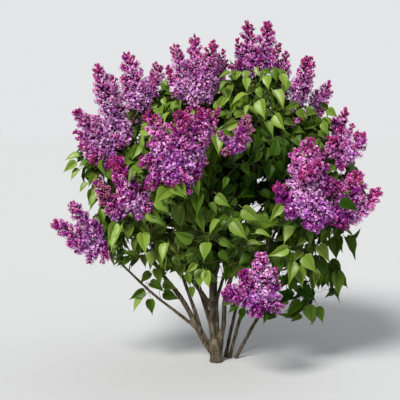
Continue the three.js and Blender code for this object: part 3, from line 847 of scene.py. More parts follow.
class Skeleton:
    """The growing bush: points with their parents, headings and run from the ground, in chains."""

    def __init__(self, room=SKELETON_ROOM):
        self.at, self.heading = np.zeros((room, 3)), np.zeros((room, 3))
        self.run, self.area, self.radius = np.zeros(room), np.zeros(room), np.zeros(room)
        self.parent = np.full(room, -1)
        self.ready = np.zeros(room, bool)
        self.count = 0
        self.chains = []

    def add(self, points, parent, ready):
        """Adds a chain of points after the parent and returns their numbers."""
        numbers = np.arange(self.count, self.count + len(points))
        self.count += len(points)
        before = points[0] if parent < 0 else self.at[parent]
        run = 0.0 if parent < 0 else self.run[parent]
        steps = np.diff(np.vstack((before, points)), axis=0)
        self.at[numbers] = points
        self.heading[numbers] = unit(steps)
        if parent < 0:
            self.heading[numbers[0]] = self.heading[numbers[1]]
        self.run[numbers] = run + np.cumsum(np.linalg.norm(steps, axis=1))
        self.parent[numbers] = np.concatenate(([parent], numbers[:-1]))
        self.ready[numbers] = ready
        return numbers

    def nearest(self, point, sharpness=0.8, economy=0.12):
        """The best point to branch from: near, heading the right way and with a short run."""
        ways = point - self.at[: self.count]
        distance = np.linalg.norm(ways, axis=1)
        bend = 1 - np.einsum("ij,ij->i", unit(ways), self.heading[: self.count])
        cost = distance * (1 + sharpness * bend) + economy * self.run[: self.count]
        cost[~self.ready[: self.count]] = 1e9
        return int(np.argmin(cost))

    def grow(self, target, heading, straight, tip_radius, rng, start=None, leafy=0.0):
        """Grows a curved branch to the target, which it reaches along the heading."""
        base = target - heading * straight
        start = self.nearest(base) if start is None else start
        origin = self.at[start]
        span = np.linalg.norm(base - origin)
        lead = unit(self.heading[start] * LEAD_KEPT + unit(base - origin) * LEAD_TURNED)
        first = origin + lead * span * BEND_SHARE
        second = base - heading * span * BEND_SHARE
        t = np.linspace(0, 1, max(2, math.ceil(span / TWIG_STEP)) + 1)[1:, None]
        back = 1 - t
        curve = back**3 * origin + 3 * back**2 * t * first + 3 * back * t**2 * second + t**3 * base
        if straight > 0:
            ends = np.linspace(0, 1, max(1, math.ceil(straight / TWIG_STEP)) + 1)[1:, None]
            curve = np.vstack((curve, base + (target - base) * ends))
        kinks = rng.normal(scale=TWIG_KINK, size=curve.shape)
        kinks[-1] = 0
        curve = curve + kinks
        numbers = self.add(curve, start, False)
        left = np.linalg.norm(target - curve, axis=1)
        self.ready[numbers] = left > leafy
        self.area[numbers[-1]] += tip_radius**PIPE_POWER
        self.chains.append(np.concatenate(([start], numbers)))
        return numbers

    def drop_bare(self, tips):
        """Takes away the chains that end at these tips, unless another one starts on them."""
        starts = {chain[0] for chain in self.chains}
        self.chains = [c for c in self.chains if c[-1] not in tips or starts & set(c[1:])]

    def thicken(self):
        """Gives every grown point the radius that carries what grows beyond it."""
        for k in range(self.count - 1, -1, -1):
            if self.parent[k] >= 0:
                self.area[self.parent[k]] += self.area[k]
        for k in range(self.count):
            if self.radius[k] == 0:
                carried = self.area[k] ** (1 / PIPE_POWER)
                self.radius[k] = min(carried, self.radius[self.parent[k]] * TAPER)


def head_list():
    """Every head of blossom as tip, foot, width, openness, paleness and the eye it is best seen from."""
    heads = [
        (np.array(tip) * MM, np.array(foot) * MM, width * MM, open_to, pale, FRONT_EYE)
        for tip, foot, width, open_to, pale in HEADS
    ]
    for k in range(BACK_TRUSSES):
        turn = BACK_FIRST + k * BACK_STEP
        climb = ((k + BACK_CLIMB_START) * GOLDEN_FRACTION) % 1
        rise = BACK_LOW + climb * BACK_SPAN
        out = np.array((math.cos(turn) * math.cos(rise), math.sin(turn) * math.cos(rise), math.sin(rise)))
        sideways = np.array((-math.sin(turn), math.cos(turn), 0))
        foot = CROWN_CENTRE + out * CROWN_RADII * BACK_FOOT_SHARE
        eye = CROWN_CENTRE + out * BACK_EYE_DISTANCE
        for j, (fan, length, lift, open_to) in enumerate(BACK_HEADS):
            way = unit(out + sideways * fan * BACK_LEAN + UP * lift)
            start = foot + sideways * fan * BACK_FEET_APART
            number = k * len(BACK_HEADS) + j
            pale = BACK_PALE + BACK_PALE_SPAN * (number * GOLDEN_FRACTION % 1)
            heads.append((start + way * length, start, BACK_WIDTH, open_to, pale, eye))
    return heads


def scaffold(crown, rng):
    """The skeleton's stems, leaders and main boughs."""
    bush = Skeleton()
    tips = []
    for rows in LIMBS.values():
        path = smooth_path(np.array(rows) * MM, LIMB_MARK_STEP)
        numbers = bush.add(path[:, :3], -1, path[:, 2] > LOWEST_BRANCH)
        bush.run[numbers] += path[0, 2]
        bush.radius[numbers] = path[:, 3]
        tips.append(numbers[-1])
    for tip in tips:
        if bush.at[tip][2] < LOWEST_LEADER:
            continue
        out = unit((bush.at[tip] - CROWN_CENTRE) * (1, 1, 0.3))
        way = unit(bush.heading[tip] + out * 0.3)
        end = bush.at[tip] + way * LEADER_REACH
        numbers = bush.grow(end, way, 0.0, LEADER_RADIUS, rng, start=tip)
        share = np.linspace(1, LEADER_TIP_SHARE, len(numbers))
        bush.radius[numbers] = bush.radius[tip] * TAPER * share
    spots = spaced_points(crown, rng, BOUGH_TRIES, BOUGH_SPACING, BOUGH_DEPTH)
    for point, way, _ in from_within(spots, 0, GROWTH_HEART):
        bush.grow(point, unit(way * 0.6 + UP * 0.6), 0.0, BOUGH_RADIUS, rng)
    return bush


def spaced_points(crown, rng, tries, spacing, depths):
    """Points inside the crown, none nearer to another than the spacing, with the way out and the depth."""
    low, high = (np.array(corner) for corner in CAD_BOX)
    kept, places = [], np.zeros((0, 3))
    for point in rng.uniform(low, high, size=(tries, 3)):
        out = (point - CROWN_CENTRE) / CROWN_RADII
        if crown.holds(point):
            depth, way = crown.depth(point)
        elif np.linalg.norm(out) < HEART_SHARE:
            depth, way = GAP_DEPTH, unit(out)
        else:
            continue
        if np.linalg.norm(point - HOLLOW_CENTRE) < HOLLOW_RADIUS:
            continue
        if not depths[0] <= depth <= depths[1]:
            continue
        clear = spacing * (1 + DEEP_SPACING * max(0, depth - depths[0]))
        if len(places) and np.linalg.norm(places - point, axis=1).min() < clear:
            continue
        places = np.vstack((places, point))
        kept.append((point, way, depth))
    return kept


@functools.lru_cache
def growth_plan():
    """Grows the whole bush once. Returns its skeleton, its heads and its leaves."""
    rng = np.random.default_rng(PLAN_SEED)
    settings = bpy.context.scene.lilac_growth
    crown = CrownShape()
    bush = scaffold(crown, rng)
    heads = head_list()
    sprays = []
    for tip, foot, _, _, _, _ in from_within(heads, 1, HEADS_HEART):
        way = unit(tip - foot)
        lean = unit(way * 0.6 + unit(foot - CROWN_CENTRE) * 0.5)
        numbers = bush.grow(foot, lean, HEAD_TWIG, settings.head_twig_radius, rng, leafy=HEAD_LEAFY)
        sprays.append((numbers, HEAD_PAIRS, HEAD_TWIG))

    def shoot(tip, way):
        return bush.grow(tip, way, SHOOT_STRAIGHT, settings.shoot_radius, rng, leafy=SHOOT_LEAFY)

    spots = spaced_points(crown, rng, settings.shoot_tries, settings.shoot_spacing, SHOOT_DEPTH)
    for point, way, _ in from_within(spots, 0, GROWTH_HEART):
        numbers = shoot(point, unit(way * 0.75 + UP * 0.35 + rng.normal(scale=0.35, size=3)))
        sprays.append((numbers, int(rng.integers(*SHOOT_PAIRS)), 0.0))
    for tip, heading, pairs in SHOOTS:
        numbers = shoot(np.array(tip) * MM, unit(np.array(heading, float)))
        sprays.append((numbers, pairs, 0.0))
    for foot, tip, _, _ in LONE_LEAVES:
        foot, tip = np.array(foot) * MM, np.array(tip) * MM
        way = unit(unit(tip - foot) * 0.5 + unit((foot - CROWN_CENTRE) / CROWN_RADII) * 0.6 + UP * 0.2)
        bush.grow(foot, way, 0.0, LONE_TWIG_RADIUS, rng)
    bush.thicken()
    return bush, heads, leaves_on(bush, sprays, crown, heads, rng)


HEAD_PAIRS = 3
INTERNODES = (0.0, 0.022, 0.050, 0.082, 0.118, 0.156)
# Leafy shoots listed one by one: tip in millimetres, heading, pairs of leaves.
SHOOTS = (
    ((-560, -20, 930), (-1.0, -0.1, 0.35), 2),
    ((600, -100, 610), (1.0, -0.1, -0.1), 4),
    ((61, -60, 1305), (-0.4, -0.4, 0.4), 3),
    ((121, -40, 1315), (-0.2, -0.5, 0.3), 3),
    ((209, -30, 1307), (0.1, -0.5, 0.3), 3),
    ((278, -40, 1297), (0.3, -0.5, 0.3), 3),
    ((244, 70, 1329), (0.2, 0.2, 0.6), 3),
    ((98, 70, 1329), (-0.2, 0.2, 0.6), 3),
    ((-60, -120, 470), (0.1, -0.4, -0.5), 3),
    ((-230, -140, 600), (-0.2, -0.4, -0.4), 3),
)
# The kinds of leaf that the listed leaves take in turn.
LONE_KINDS = (0, 4, 3, 4)
# Leaves at the edge and the front of the crown, listed one by one: foot and tip in millimetres, roll
# about the length in degrees, and shade from light to deep.
# Their shade is painted light and shade: light for lit leaves, deep for leaves in shadow.
LONE_LEAVES = (
    ((500, -370, 800), (606, -390, 762), 5, 3.3),
    ((-620, -40, 988), (-708, -44, 961), 18, -0.4),
    ((-633, -50, 961), (-716, -57, 906), 18, -0.5),
    ((-622, -60, 934), (-676, -77, 865), 18, -0.4),
    ((-560, -40, 905), (-620, -48, 882), 20, 1.6),
    ((-583, -90, 871), (-632, -105, 812), 18, 0.0),
    ((-571, -110, 849), (-589, -121, 758), 34, 0.1),
    ((-527, -140, 801), (-579, -165, 735), 34, -0.6),
    ((-533, -170, 758), (-510, -188, 688), 34, 0.2),
    ((-413, -265, 705), (-465, -330, 568), 25, -0.6),
    ((-450, -250, 708), (-485, -304, 595), 34, -0.4),
    ((-397, -80, 512), (-467, -80, 470), 10, 2.3),
    ((-336, -230, 666), (-315, -285, 552), 15, -0.6),
    ((-347, -200, 644), (-372, -237, 541), 34, 0.2),
    ((-297, -120, 560), (-310, -145, 453), 30, 0.5),
    ((-215, -240, 622), (-240, -289, 522), 25, -0.8),
    ((-296, -60, 452), (-361, -72, 384), 15, 0.4),
    ((-273, -60, 452), (-263, -76, 389), 25, 0.9),
    ((-321, -55, 366), (-409, -65, 316), 34, 1.5),
    ((-320, -60, 344), (-391, -122, 253), 34, -0.6),
    ((-311, -55, 333), (-297, -64, 230), 5, 1.2),
    ((-266, -20, 350), (-171, -26, 308), 30, 1.4),
    ((571, -110, 633), (635, -124, 505), 34, 1.1),
    ((545, -130, 640), (547, -162, 501), 10, 1.2),
    ((437, -260, 611), (499, -305, 520), 5, -0.8),
    ((371, -300, 572), (433, -343, 486), 15, -0.3),
    ((324, -290, 544), (306, -346, 429), 34, -0.3),
    ((364, -250, 525), (378, -291, 410), 5, 0.2),
    ((427, -180, 468), (431, -191, 378), 34, 1.6),
    ((467, -150, 481), (466, -163, 368), 5, 1.7),
    ((544, -120, 481), (555, -154, 334), 20, 1.0),
    ((550, -110, 475), (610, -122, 374), 34, 1.3),
    ((374, -90, 330), (271, -90, 359), 15, 3.3),
    ((368, -100, 393), (470, -100, 309), 5, 3.3),
    ((411, -95, 322), (317, -105, 235), 5, 2.3),
    ((425, -90, 316), (453, -104, 192), 5, 0.6),
    ((465, -70, 298), (502, -83, 197), 5, 1.0),
    ((345, -330, 700), (281, -375, 609), 25, -0.7),
    ((319, -340, 604), (213, -358, 563), 34, -0.6),
    ((343, -200, 448), (366, -200, 375), 34, 2.6),
    ((388, -300, 643), (343, -319, 597), 34, 0.9),
    ((228, -150, 1360), (230, -188, 1279), 15, -1.0),
    ((282, -150, 1360), (310, -188, 1279), 15, -1.0),
    ((187, -230, 1255), (211, -280, 1146), 25, -1.1),
    ((237, -210, 1291), (291, -255, 1194), 34, -0.9),
    ((249, -230, 1190), (299, -271, 1102), 34, -0.7),
    ((197, -230, 1150), (244, -260, 1067), 34, 0.0),
    ((148, -220, 1269), (55, -243, 1207), 34, -0.6),
    ((128, -170, 1346), (131, -206, 1269), 15, -0.7),
    ((80, -150, 1364), (-1, -160, 1328), 34, 0.1),
    ((97, -300, 1141), (-3, -315, 1107), 34, -0.5),
    ((147, -240, 1225), (120, -264, 1159), 34, -0.5),
    ((-22, -390, 1104), (3, -438, 999), 34, -0.8),
    ((176, -120, 1393), (192, -146, 1342), 30, -0.8),
    ((51, -230, 1251), (20, -240, 1216), 20, -0.8),
    ((-17, -400, 845), (59, -425, 779), 34, 0.3),
    ((-47, -380, 804), (0, -397, 737), 34, 0.7),
    ((89, -400, 789), (186, -425, 723), 34, 0.3),
    ((273, -400, 798), (215, -437, 725), 30, -0.1),
    ((55, -420, 744), (125, -467, 648), 34, 0.1),
    ((141, -400, 665), (234, -416, 649), 34, -0.1),
    ((21, -410, 739), (-43, -442, 653), 34, 0.2),
    ((-81, -360, 759), (-60, -383, 662), 5, 0.9),
    ((-39, -400, 643), (-60, -447, 547), 5, -0.3),
    ((-90, -350, 628), (-202, -354, 672), 34, 0.7),
    ((-141, -370, 812), (-166, -411, 730), 34, -0.2),
    ((-193, -360, 811), (-201, -390, 754), 34, -0.1),
    ((5, -380, 649), (60, -400, 600), 30, 0.4),
    ((108, -380, 606), (202, -386, 615), 34, 0.3),
    ((6, -330, 594), (53, -347, 527), 10, 1.2),
    ((-86, -300, 528), (-143, -321, 478), 25, -0.3),
    ((-50, -280, 502), (-33, -314, 410), 15, -0.4),
    ((-120, -340, 696), (-86, -349, 667), 30, 0.6),
    ((-244, -120, 1258), (-226, -148, 1204), 20, -0.2),
    ((-267, -120, 1222), (-303, -131, 1200), 34, 0.3),
    ((-185, -130, 1245), (-198, -153, 1181), 34, 0.2),
    ((-349, -200, 1048), (-382, -240, 965), 34, 0.1),
    ((-237, -60, 1342), (-223, -82, 1300), 34, 0.0),
    ((-350, -330, 909), (-327, -344, 879), 34, -0.2),
    ((201, -140, 1378), (250, -150, 1355), 20, 0.6),
    ((107, -150, 1373), (84, -160, 1328), 10, -0.9),
    ((181, -180, 1301), (198, -200, 1252), 15, 0.3),
    ((378, -100, 1223), (299, -120, 1191), 15, 0.9),
    ((332, -120, 1118), (402, -140, 1092), 15, 0.8),
    ((201, -230, 1251), (155, -250, 1277), 15, -0.9),
    ((-294, -180, 573), (-294, -200, 485), 10, -0.5),
    ((-260, -150, 527), (-204, -170, 480), 15, 0.9),
    ((-264, -50, 399), (-180, -60, 363), 25, 0.6),
    ((-123, -100, 393), (-109, -110, 330), 20, 0.2),
    ((-64, -260, 508), (-77, -300, 399), 10, 0.2),
    ((439, -220, 493), (432, -250, 403), 30, -0.2),
    ((48, -180, 1327), (7, -200, 1274), 20, 0.5),
    ((18, -300, 1193), (-4, -320, 1154), 20, 0.8),
    ((297, -150, 1159), (353, -170, 1123), 20, 0.7),
    ((557, -300, 815), (585, -310, 846), 20, 1.2),
    ((342, -300, 876), (284, -320, 860), 15, 0.8),
    ((191, -330, 1021), (160, -350, 966), 15, 1.9),
    ((109, -330, 978), (138, -350, 910), 20, 1.7),
    ((43, -380, 912), (17, -400, 853), 20, 1.7),
    ((-360, -150, 518), (-435, -175, 559), 20, 0.2),
    ((-343, -120, 546), (-324, -145, 471), 20, 0.2),
    ((-246, -150, 564), (-231, -175, 462), 20, 0.0),
    ((-206, -120, 504), (-173, -145, 434), 25, 0.7),
    ((-225, -100, 459), (-284, -125, 398), 15, 1.0),
    ((-289, -110, 484), (-252, -135, 386), 20, 0.7),
    ((-196, -150, 546), (-163, -175, 481), 20, 0.2),
    ((-268, -170, 567), (-253, -195, 479), 15, -0.1),
    ((-146, -120, 504), (-164, -145, 420), 20, 0.2),
    ((-329, -60, 396), (-235, -85, 353), 15, 1.5),
    ((263, -40, 1397), (280, -65, 1314), 20, 0.4),
    ((247, -20, 1389), (296, -45, 1338), 10, 1.0),
    ((310, -30, 1393), (272, -55, 1319), 15, 0.8),
    ((332, -50, 1342), (298, -75, 1259), 15, 0.6),
    ((-225, -20, 1334), (-257, -45, 1274), 10, 0.8),
    ((-262, -30, 1320), (-210, -55, 1265), 10, 0.8),
    ((-372, -60, 1118), (-384, -85, 1040), 15, 1.2),
    ((-409, -60, 1086), (-357, -85, 1054), 15, 1.4),
    ((148, -130, 1379), (116, -155, 1311), 10, -0.3),
    ((222, -110, 1375), (189, -135, 1316), 10, 0.3),
    ((366, -130, 1209), (395, -155, 1141), 10, 0.9),
    ((406, -130, 1218), (431, -155, 1146), 15, 0.8),
    ((493, -90, 1205), (554, -115, 1159), 10, 0.3),
    ((445, -150, 1186), (384, -175, 1163), 10, 0.4),
    ((473, -180, 1150), (493, -205, 1079), 15, -0.2),
    ((489, -300, 674), (447, -325, 611), 10, 0.6),
    ((549, -250, 681), (510, -275, 622), 10, 0.9),
    ((401, -100, 248), (339, -125, 216), 10, 2.3),
    ((100, -300, 345), (42, -325, 297), 5, 2.3),
    ((112, -310, 334), (103, -335, 263), 15, 1.9),
    ((131, -300, 327), (169, -325, 279), 10, 2.3),
    ((82, -290, 356), (20, -315, 335), 15, 1.8),
    ((332, -130, 450), (293, -155, 371), 10, 2.0),
    ((297, -200, 512), (251, -225, 462), 20, 1.4),
    ((457, -150, 532), (518, -175, 435), 15, 2.4),
    ((508, -110, 517), (579, -135, 432), 10, 2.2),
    ((525, -125, 500), (550, -150, 407), 15, 2.6),
    ((380, -260, 580), (334, -285, 521), 10, -0.2),
    ((-401, -150, 560), (-458, -175, 522), 10, 2.1),
    ((-388, -140, 530), (-441, -165, 479), 15, 1.9),
    ((-441, -160, 593), (-475, -185, 533), 15, 1.3),
    ((-364, -150, 615), (-354, -175, 527), 15, 0.9),
    ((155, -320, 566), (80, -345, 509), 15, 2.2),
    ((142, -310, 529), (85, -335, 441), 15, 2.6),
    ((266, -300, 586), (286, -325, 483), 15, 1.8),
    ((471, -120, 472), (519, -145, 378), 15, 1.2),
    ((518, -110, 456), (479, -135, 363), 15, 1.8),
    ((536, -100, 636), (579, -125, 533), 15, 1.6),
    ((370, -120, 434), (331, -145, 351), 10, 1.7),
    ((481, -140, 493), (502, -165, 405), 10, 1.6),
    ((-373, -210, 699), (-403, -235, 594), 15, -0.2),
    ((-346, -210, 690), (-291, -235, 621), 10, 0.2),
    ((-451, -150, 578), (-503, -175, 554), 15, 0.7),
    ((-416, -130, 529), (-474, -155, 487), 10, 1.3),
    ((-350, -90, 542), (-395, -115, 466), 10, 1.5),
    ((61, -250, 516), (34, -275, 425), 10, 2.4),
    ((-536, -140, 824), (-575, -165, 744), 20, 0.1),
    ((-553, -60, 910), (-593, -85, 838), 15, 0.6),
    ((-585, -60, 966), (-642, -85, 926), 15, 0.4),
    ((342, -200, 567), (309, -225, 489), 10, 1.2),
    ((298, -200, 462), (278, -225, 380), 15, 2.4),
    ((-141, -170, 466), (-118, -195, 392), 15, 0.8),
    ((407, -180, 609), (436, -205, 536), 15, 0.8),
    ((469, -150, 633), (499, -175, 559), 15, 1.4),
    ((289, -10, 1381), (334, -35, 1315), 15, 0.2),
)
# Places where the sky shows through, as seen from the front eye: x, z and half width in millimetres.
OPENINGS = (
    (214, 865, 25),
    (182, 752, 26),
    (135, 657, 16),
    (-218, 700, 19),
    (-190, 643, 16),
    (196, 761, 19),
    (220, 723, 16),
    (-408, 552, 21),
    (-385, 481, 33),
    (-210, 399, 21),
    (18, 452, 19),
    (-157, 452, 19),
    (216, 576, 14),
    (254, 571, 14),
    (296, 581, 14),
    (609, 514, 21),
    (374, 332, 12),
    (435, 385, 12),
    (-532, 879, 14),
    (16, 1294, 14),
    (350, 361, 14),
    (-11, 557, 12),
    (-129, 547, 12),
    (-242, 633, 14),
    (-314, 481, 12),
    (516, 370, 16),
    (111, 714, 12),
    (154, 671, 12),
    (540, 303, 22),
    (633, 481, 22),
    (322, 265, 18),
    (404, 192, 14),
    (450, 332, 10),
    (516, 346, 25),
    (-671, 1024, 12),
    (565, 265, 14),
    (622, 279, 14),
    (594, 926, 38),
    (242, 187, 16),
    (556, 226, 25),
    (-680, 1043, 20),
    (533, 1298, 10),
    (579, 269, 14),
    (-417, 562, 14),
)
# A hollow in the front of the crown where no shoot starts, so that the inner leaves show.
HOLLOW_CENTRE = np.array((80, -430, 915)) * MM
HOLLOW_RADIUS = 0.17
# Beside it the leaves in the dim space between the heads are painted darker: painted shade.
DUSK_CENTRE = np.array((190, -330, 955)) * MM
STRAY = 0.08
LEAF_LENGTH = 0.102
# The share of the full size that each pair on a shoot has, from the tip back.
PAIR_SIZES = (0.72, 0.9, 1.0, 1.05, 1.05, 1.0)


def spray_leaves(bush, numbers, pairs, bare, rng):
    """A twig's leaves: foot, two axes, size, kind, shade and the shoot's tip, or -1 below a head."""
    path = bush.at[numbers][::-1]
    travelled = np.concatenate(([0], np.cumsum(np.linalg.norm(np.diff(path, axis=0), axis=1))))
    shade = rng.normal(scale=0.75)
    angle = rng.uniform(0, TURN)
    shoot = -1 if bare else numbers[-1]
    rows = []
    for k in range(pairs):
        back = bare + INTERNODES[k] * rng.uniform(0.85, 1.15)
        if back > travelled[-1]:
            break
        foot = np.array([np.interp(back, travelled, path[:, axis]) for axis in range(3)])
        place = int(np.searchsorted(travelled, back))
        stem = bush.heading[numbers[max(len(numbers) - 1 - place, 0)]]
        out = unit((foot - CROWN_CENTRE) / CROWN_RADII * (1, 1, 0.5))
        for hand in (0, math.pi):
            turn = angle + k * TURN / 4 + hand + rng.normal(scale=0.2)
            spread = around(stem, LEAF_SIDE, turn)
            hang = 0.70 - 0.25 * smoothstep(0.9, 1.3, foot[2]) + rng.normal(scale=0.15)
            lean = stem * 0.35 + spread * 0.85 - UP * hang + out * 0.25
            along = unit(lean + rng.normal(scale=0.1, size=3))
            face = UP * 0.40 + out * 0.90 + rng.normal(scale=0.25, size=3)
            face = unit(face - along * (face @ along))
            size = LEAF_LENGTH * PAIR_SIZES[k] * rng.uniform(0.82, 1.16)
            rows.append((foot, along, face, size, rng.integers(len(LEAF_KINDS)), shade, shoot))
    return rows


def leaves_on(bush, sprays, crown, heads, rng):
    """All leaves in columns: foot, two axes, size, kind, and tone with painted shade, none in the blossom's
    way.
    """
    rows = [row for spray in sprays for row in spray_leaves(bush, *spray, rng)]
    feet, along, faces, sizes, kinds, tones_and_painted_shades, shoots = (np.array(column) for column in zip(*rows))
    middles = feet + along * sizes[:, None] * 0.7
    depths = np.array([crown.depth(m)[0] * (1 if crown.holds(m) else -1) for m in middles])
    # Painted shade: the deeper a leaf lies under the crown's outside, the darker its green.
    under = np.maximum(depths, 0)
    # The top leaves are painted lighter: partly their paler youth, partly painted light on the crown's top.
    top = smoothstep(1.05, 1.3, middles[:, 2])
    # Painted shade on the lowest leaves, under the crown.
    skirt_shade = 1 - smoothstep(0.36, 0.46, middles[:, 2])
    # Painted shade in the dim space between the front heads, and more painted shade towards the right, away
    # from the key light.
    dusk_and_side_shade = 1 - smoothstep(0.12, 0.24, np.linalg.norm((middles - DUSK_CENTRE)[:, ::2], axis=1))
    dusk_and_side_shade = dusk_and_side_shade * (middles[:, 1] < 0) + 0.5 * smoothstep(-0.35, 0.0, middles[:, 0])
    # The spray's and the leaf's own random tone go in with the painted shade.
    tones_and_painted_shades = tones_and_painted_shades * 0.9 + under / 0.055 + rng.normal(scale=0.35, size=len(rows)) - 0.24
    tones_and_painted_shades += 1.2 * skirt_shade + 1.8 * dusk_and_side_shade - 0.9 * top
    ends = feet + along * sizes[:, None] * 1.25
    low, high = (np.array(corner) for corner in CAD_BOX)
    keep = ((ends > low - 0.02) & (ends < high + 0.02)).all(axis=1) & clear_of_guards(middles, sizes, heads)
    keep &= (depths > -STRAY) & (np.linalg.norm(middles - HOLLOW_CENTRE, axis=1) > 0.9 * HOLLOW_RADIUS)
    bush.drop_bare(set(shoots) - set(shoots[keep]))
    loose = [column[keep] for column in (feet, along, faces, sizes, kinds, tones_and_painted_shades)]
    return [np.concatenate(pair) for pair in zip(loose, lone_leaves())]


def lone_leaves():
    """The listed leaves, in the same columns as the others."""
    rows = []
    for k, (foot, tip, roll, shade) in enumerate(LONE_LEAVES):
        foot, tip = np.array(foot) * MM, np.array(tip) * MM
        kind = LONE_KINDS[k % len(LONE_KINDS)]
        reach = leaf_rib(kind, 1.0)[0]
        span = np.linalg.norm(tip - foot)
        way = (tip - foot) / span
        face = np.array((-0.25, -0.8, 0.5))
        face = unit(face - way * (face @ way))
        turn = math.radians(roll) * (1 if k % 2 else -1)
        face = face * math.cos(turn) + np.cross(way, face) * math.sin(turn)
        droop = math.atan2(-reach[2], reach[1])
        along = way * math.cos(droop) + face * math.sin(droop)
        face = face * math.cos(droop) - way * math.sin(droop)
        rows.append((foot, along, face, span / math.hypot(reach[1], reach[2]), kind, shade))
    return [np.array(column) for column in zip(*rows)]


# How far aside leaves keep, as a share of their size, and how far before and behind that holds: for
# the heads of blossom, the listed leaves and the openings.
HEAD_GUARD = (0.12, -0.45, 0.012)
LEAF_GUARD = (0.22, -0.45, 0.02)
OPENING_GUARD = (0.15, -2.0, 2.0)


def clear_of_guards(middles, sizes, heads):
    """True for the leaves neither in nor before a head of blossom, a listed leaf or an opening."""
    keep = np.ones(len(middles), bool)
    guards = []
    for tip, foot, width, _, _, eye in heads:
        for share in np.linspace(0.05, 0.95, 7):
            radius = width / 2 * float(np.interp(share, (0, 0.3, 1), (0.85, 1, 0.35)))
            guards.append((foot + (tip - foot) * share, radius * 0.95, eye, *HEAD_GUARD))
    for foot, tip, _, _ in LONE_LEAVES:
        foot, tip = np.array(foot) * MM, np.array(tip) * MM
        for share in (0.35, 0.6, 0.85):
            radius = np.linalg.norm(tip - foot) * (0.30 - 0.22 * share)
            guards.append((foot + (tip - foot) * share, radius, FRONT_EYE, *LEAF_GUARD))
    for x, z, radius in OPENINGS:
        guards.append((np.array((x, 0, z)) * MM, radius * MM, FRONT_EYE, *OPENING_GUARD))
    for centre, radius, eye, margin, nearest, furthest in guards:
        sight = unit(centre - eye)
        aside = middles - centre
        before = aside @ sight
        beside = np.linalg.norm(aside - before[:, None] * sight, axis=1)
        keep &= ~((beside < radius + sizes * margin) & (before < furthest) & (before > nearest))
        keep &= np.linalg.norm(aside, axis=1) > radius
    return keep


# ---------------------------------------------------------------- blossom


HEAD_SHARES = (0.0, 0.08, 0.25, 0.45, 0.8, 0.95, 1.0)
HEAD_BREADTHS = (0.55, 0.85, 1.0, 0.97, 0.62, 0.32, 0.14)
OPEN_PITCH = 0.0134
BUD_PITCH = 0.0080
BLOSSOM_SEED = 7
FLORET_TINTS = ("pale", "lilac", "orchid", "violet")
BUD_TINTS = ("maroon", "magenta", "rose", "dusty")
FADED = 0.15
# Where one tint gives way to the next: florets low and high on a head, and buds.
OLDER_STEPS = (-0.72, -0.42, -0.42)
YOUNGER_STEPS = (-0.72, -0.60, -0.29)
BUD_STEPS = (-0.45, 0.05)


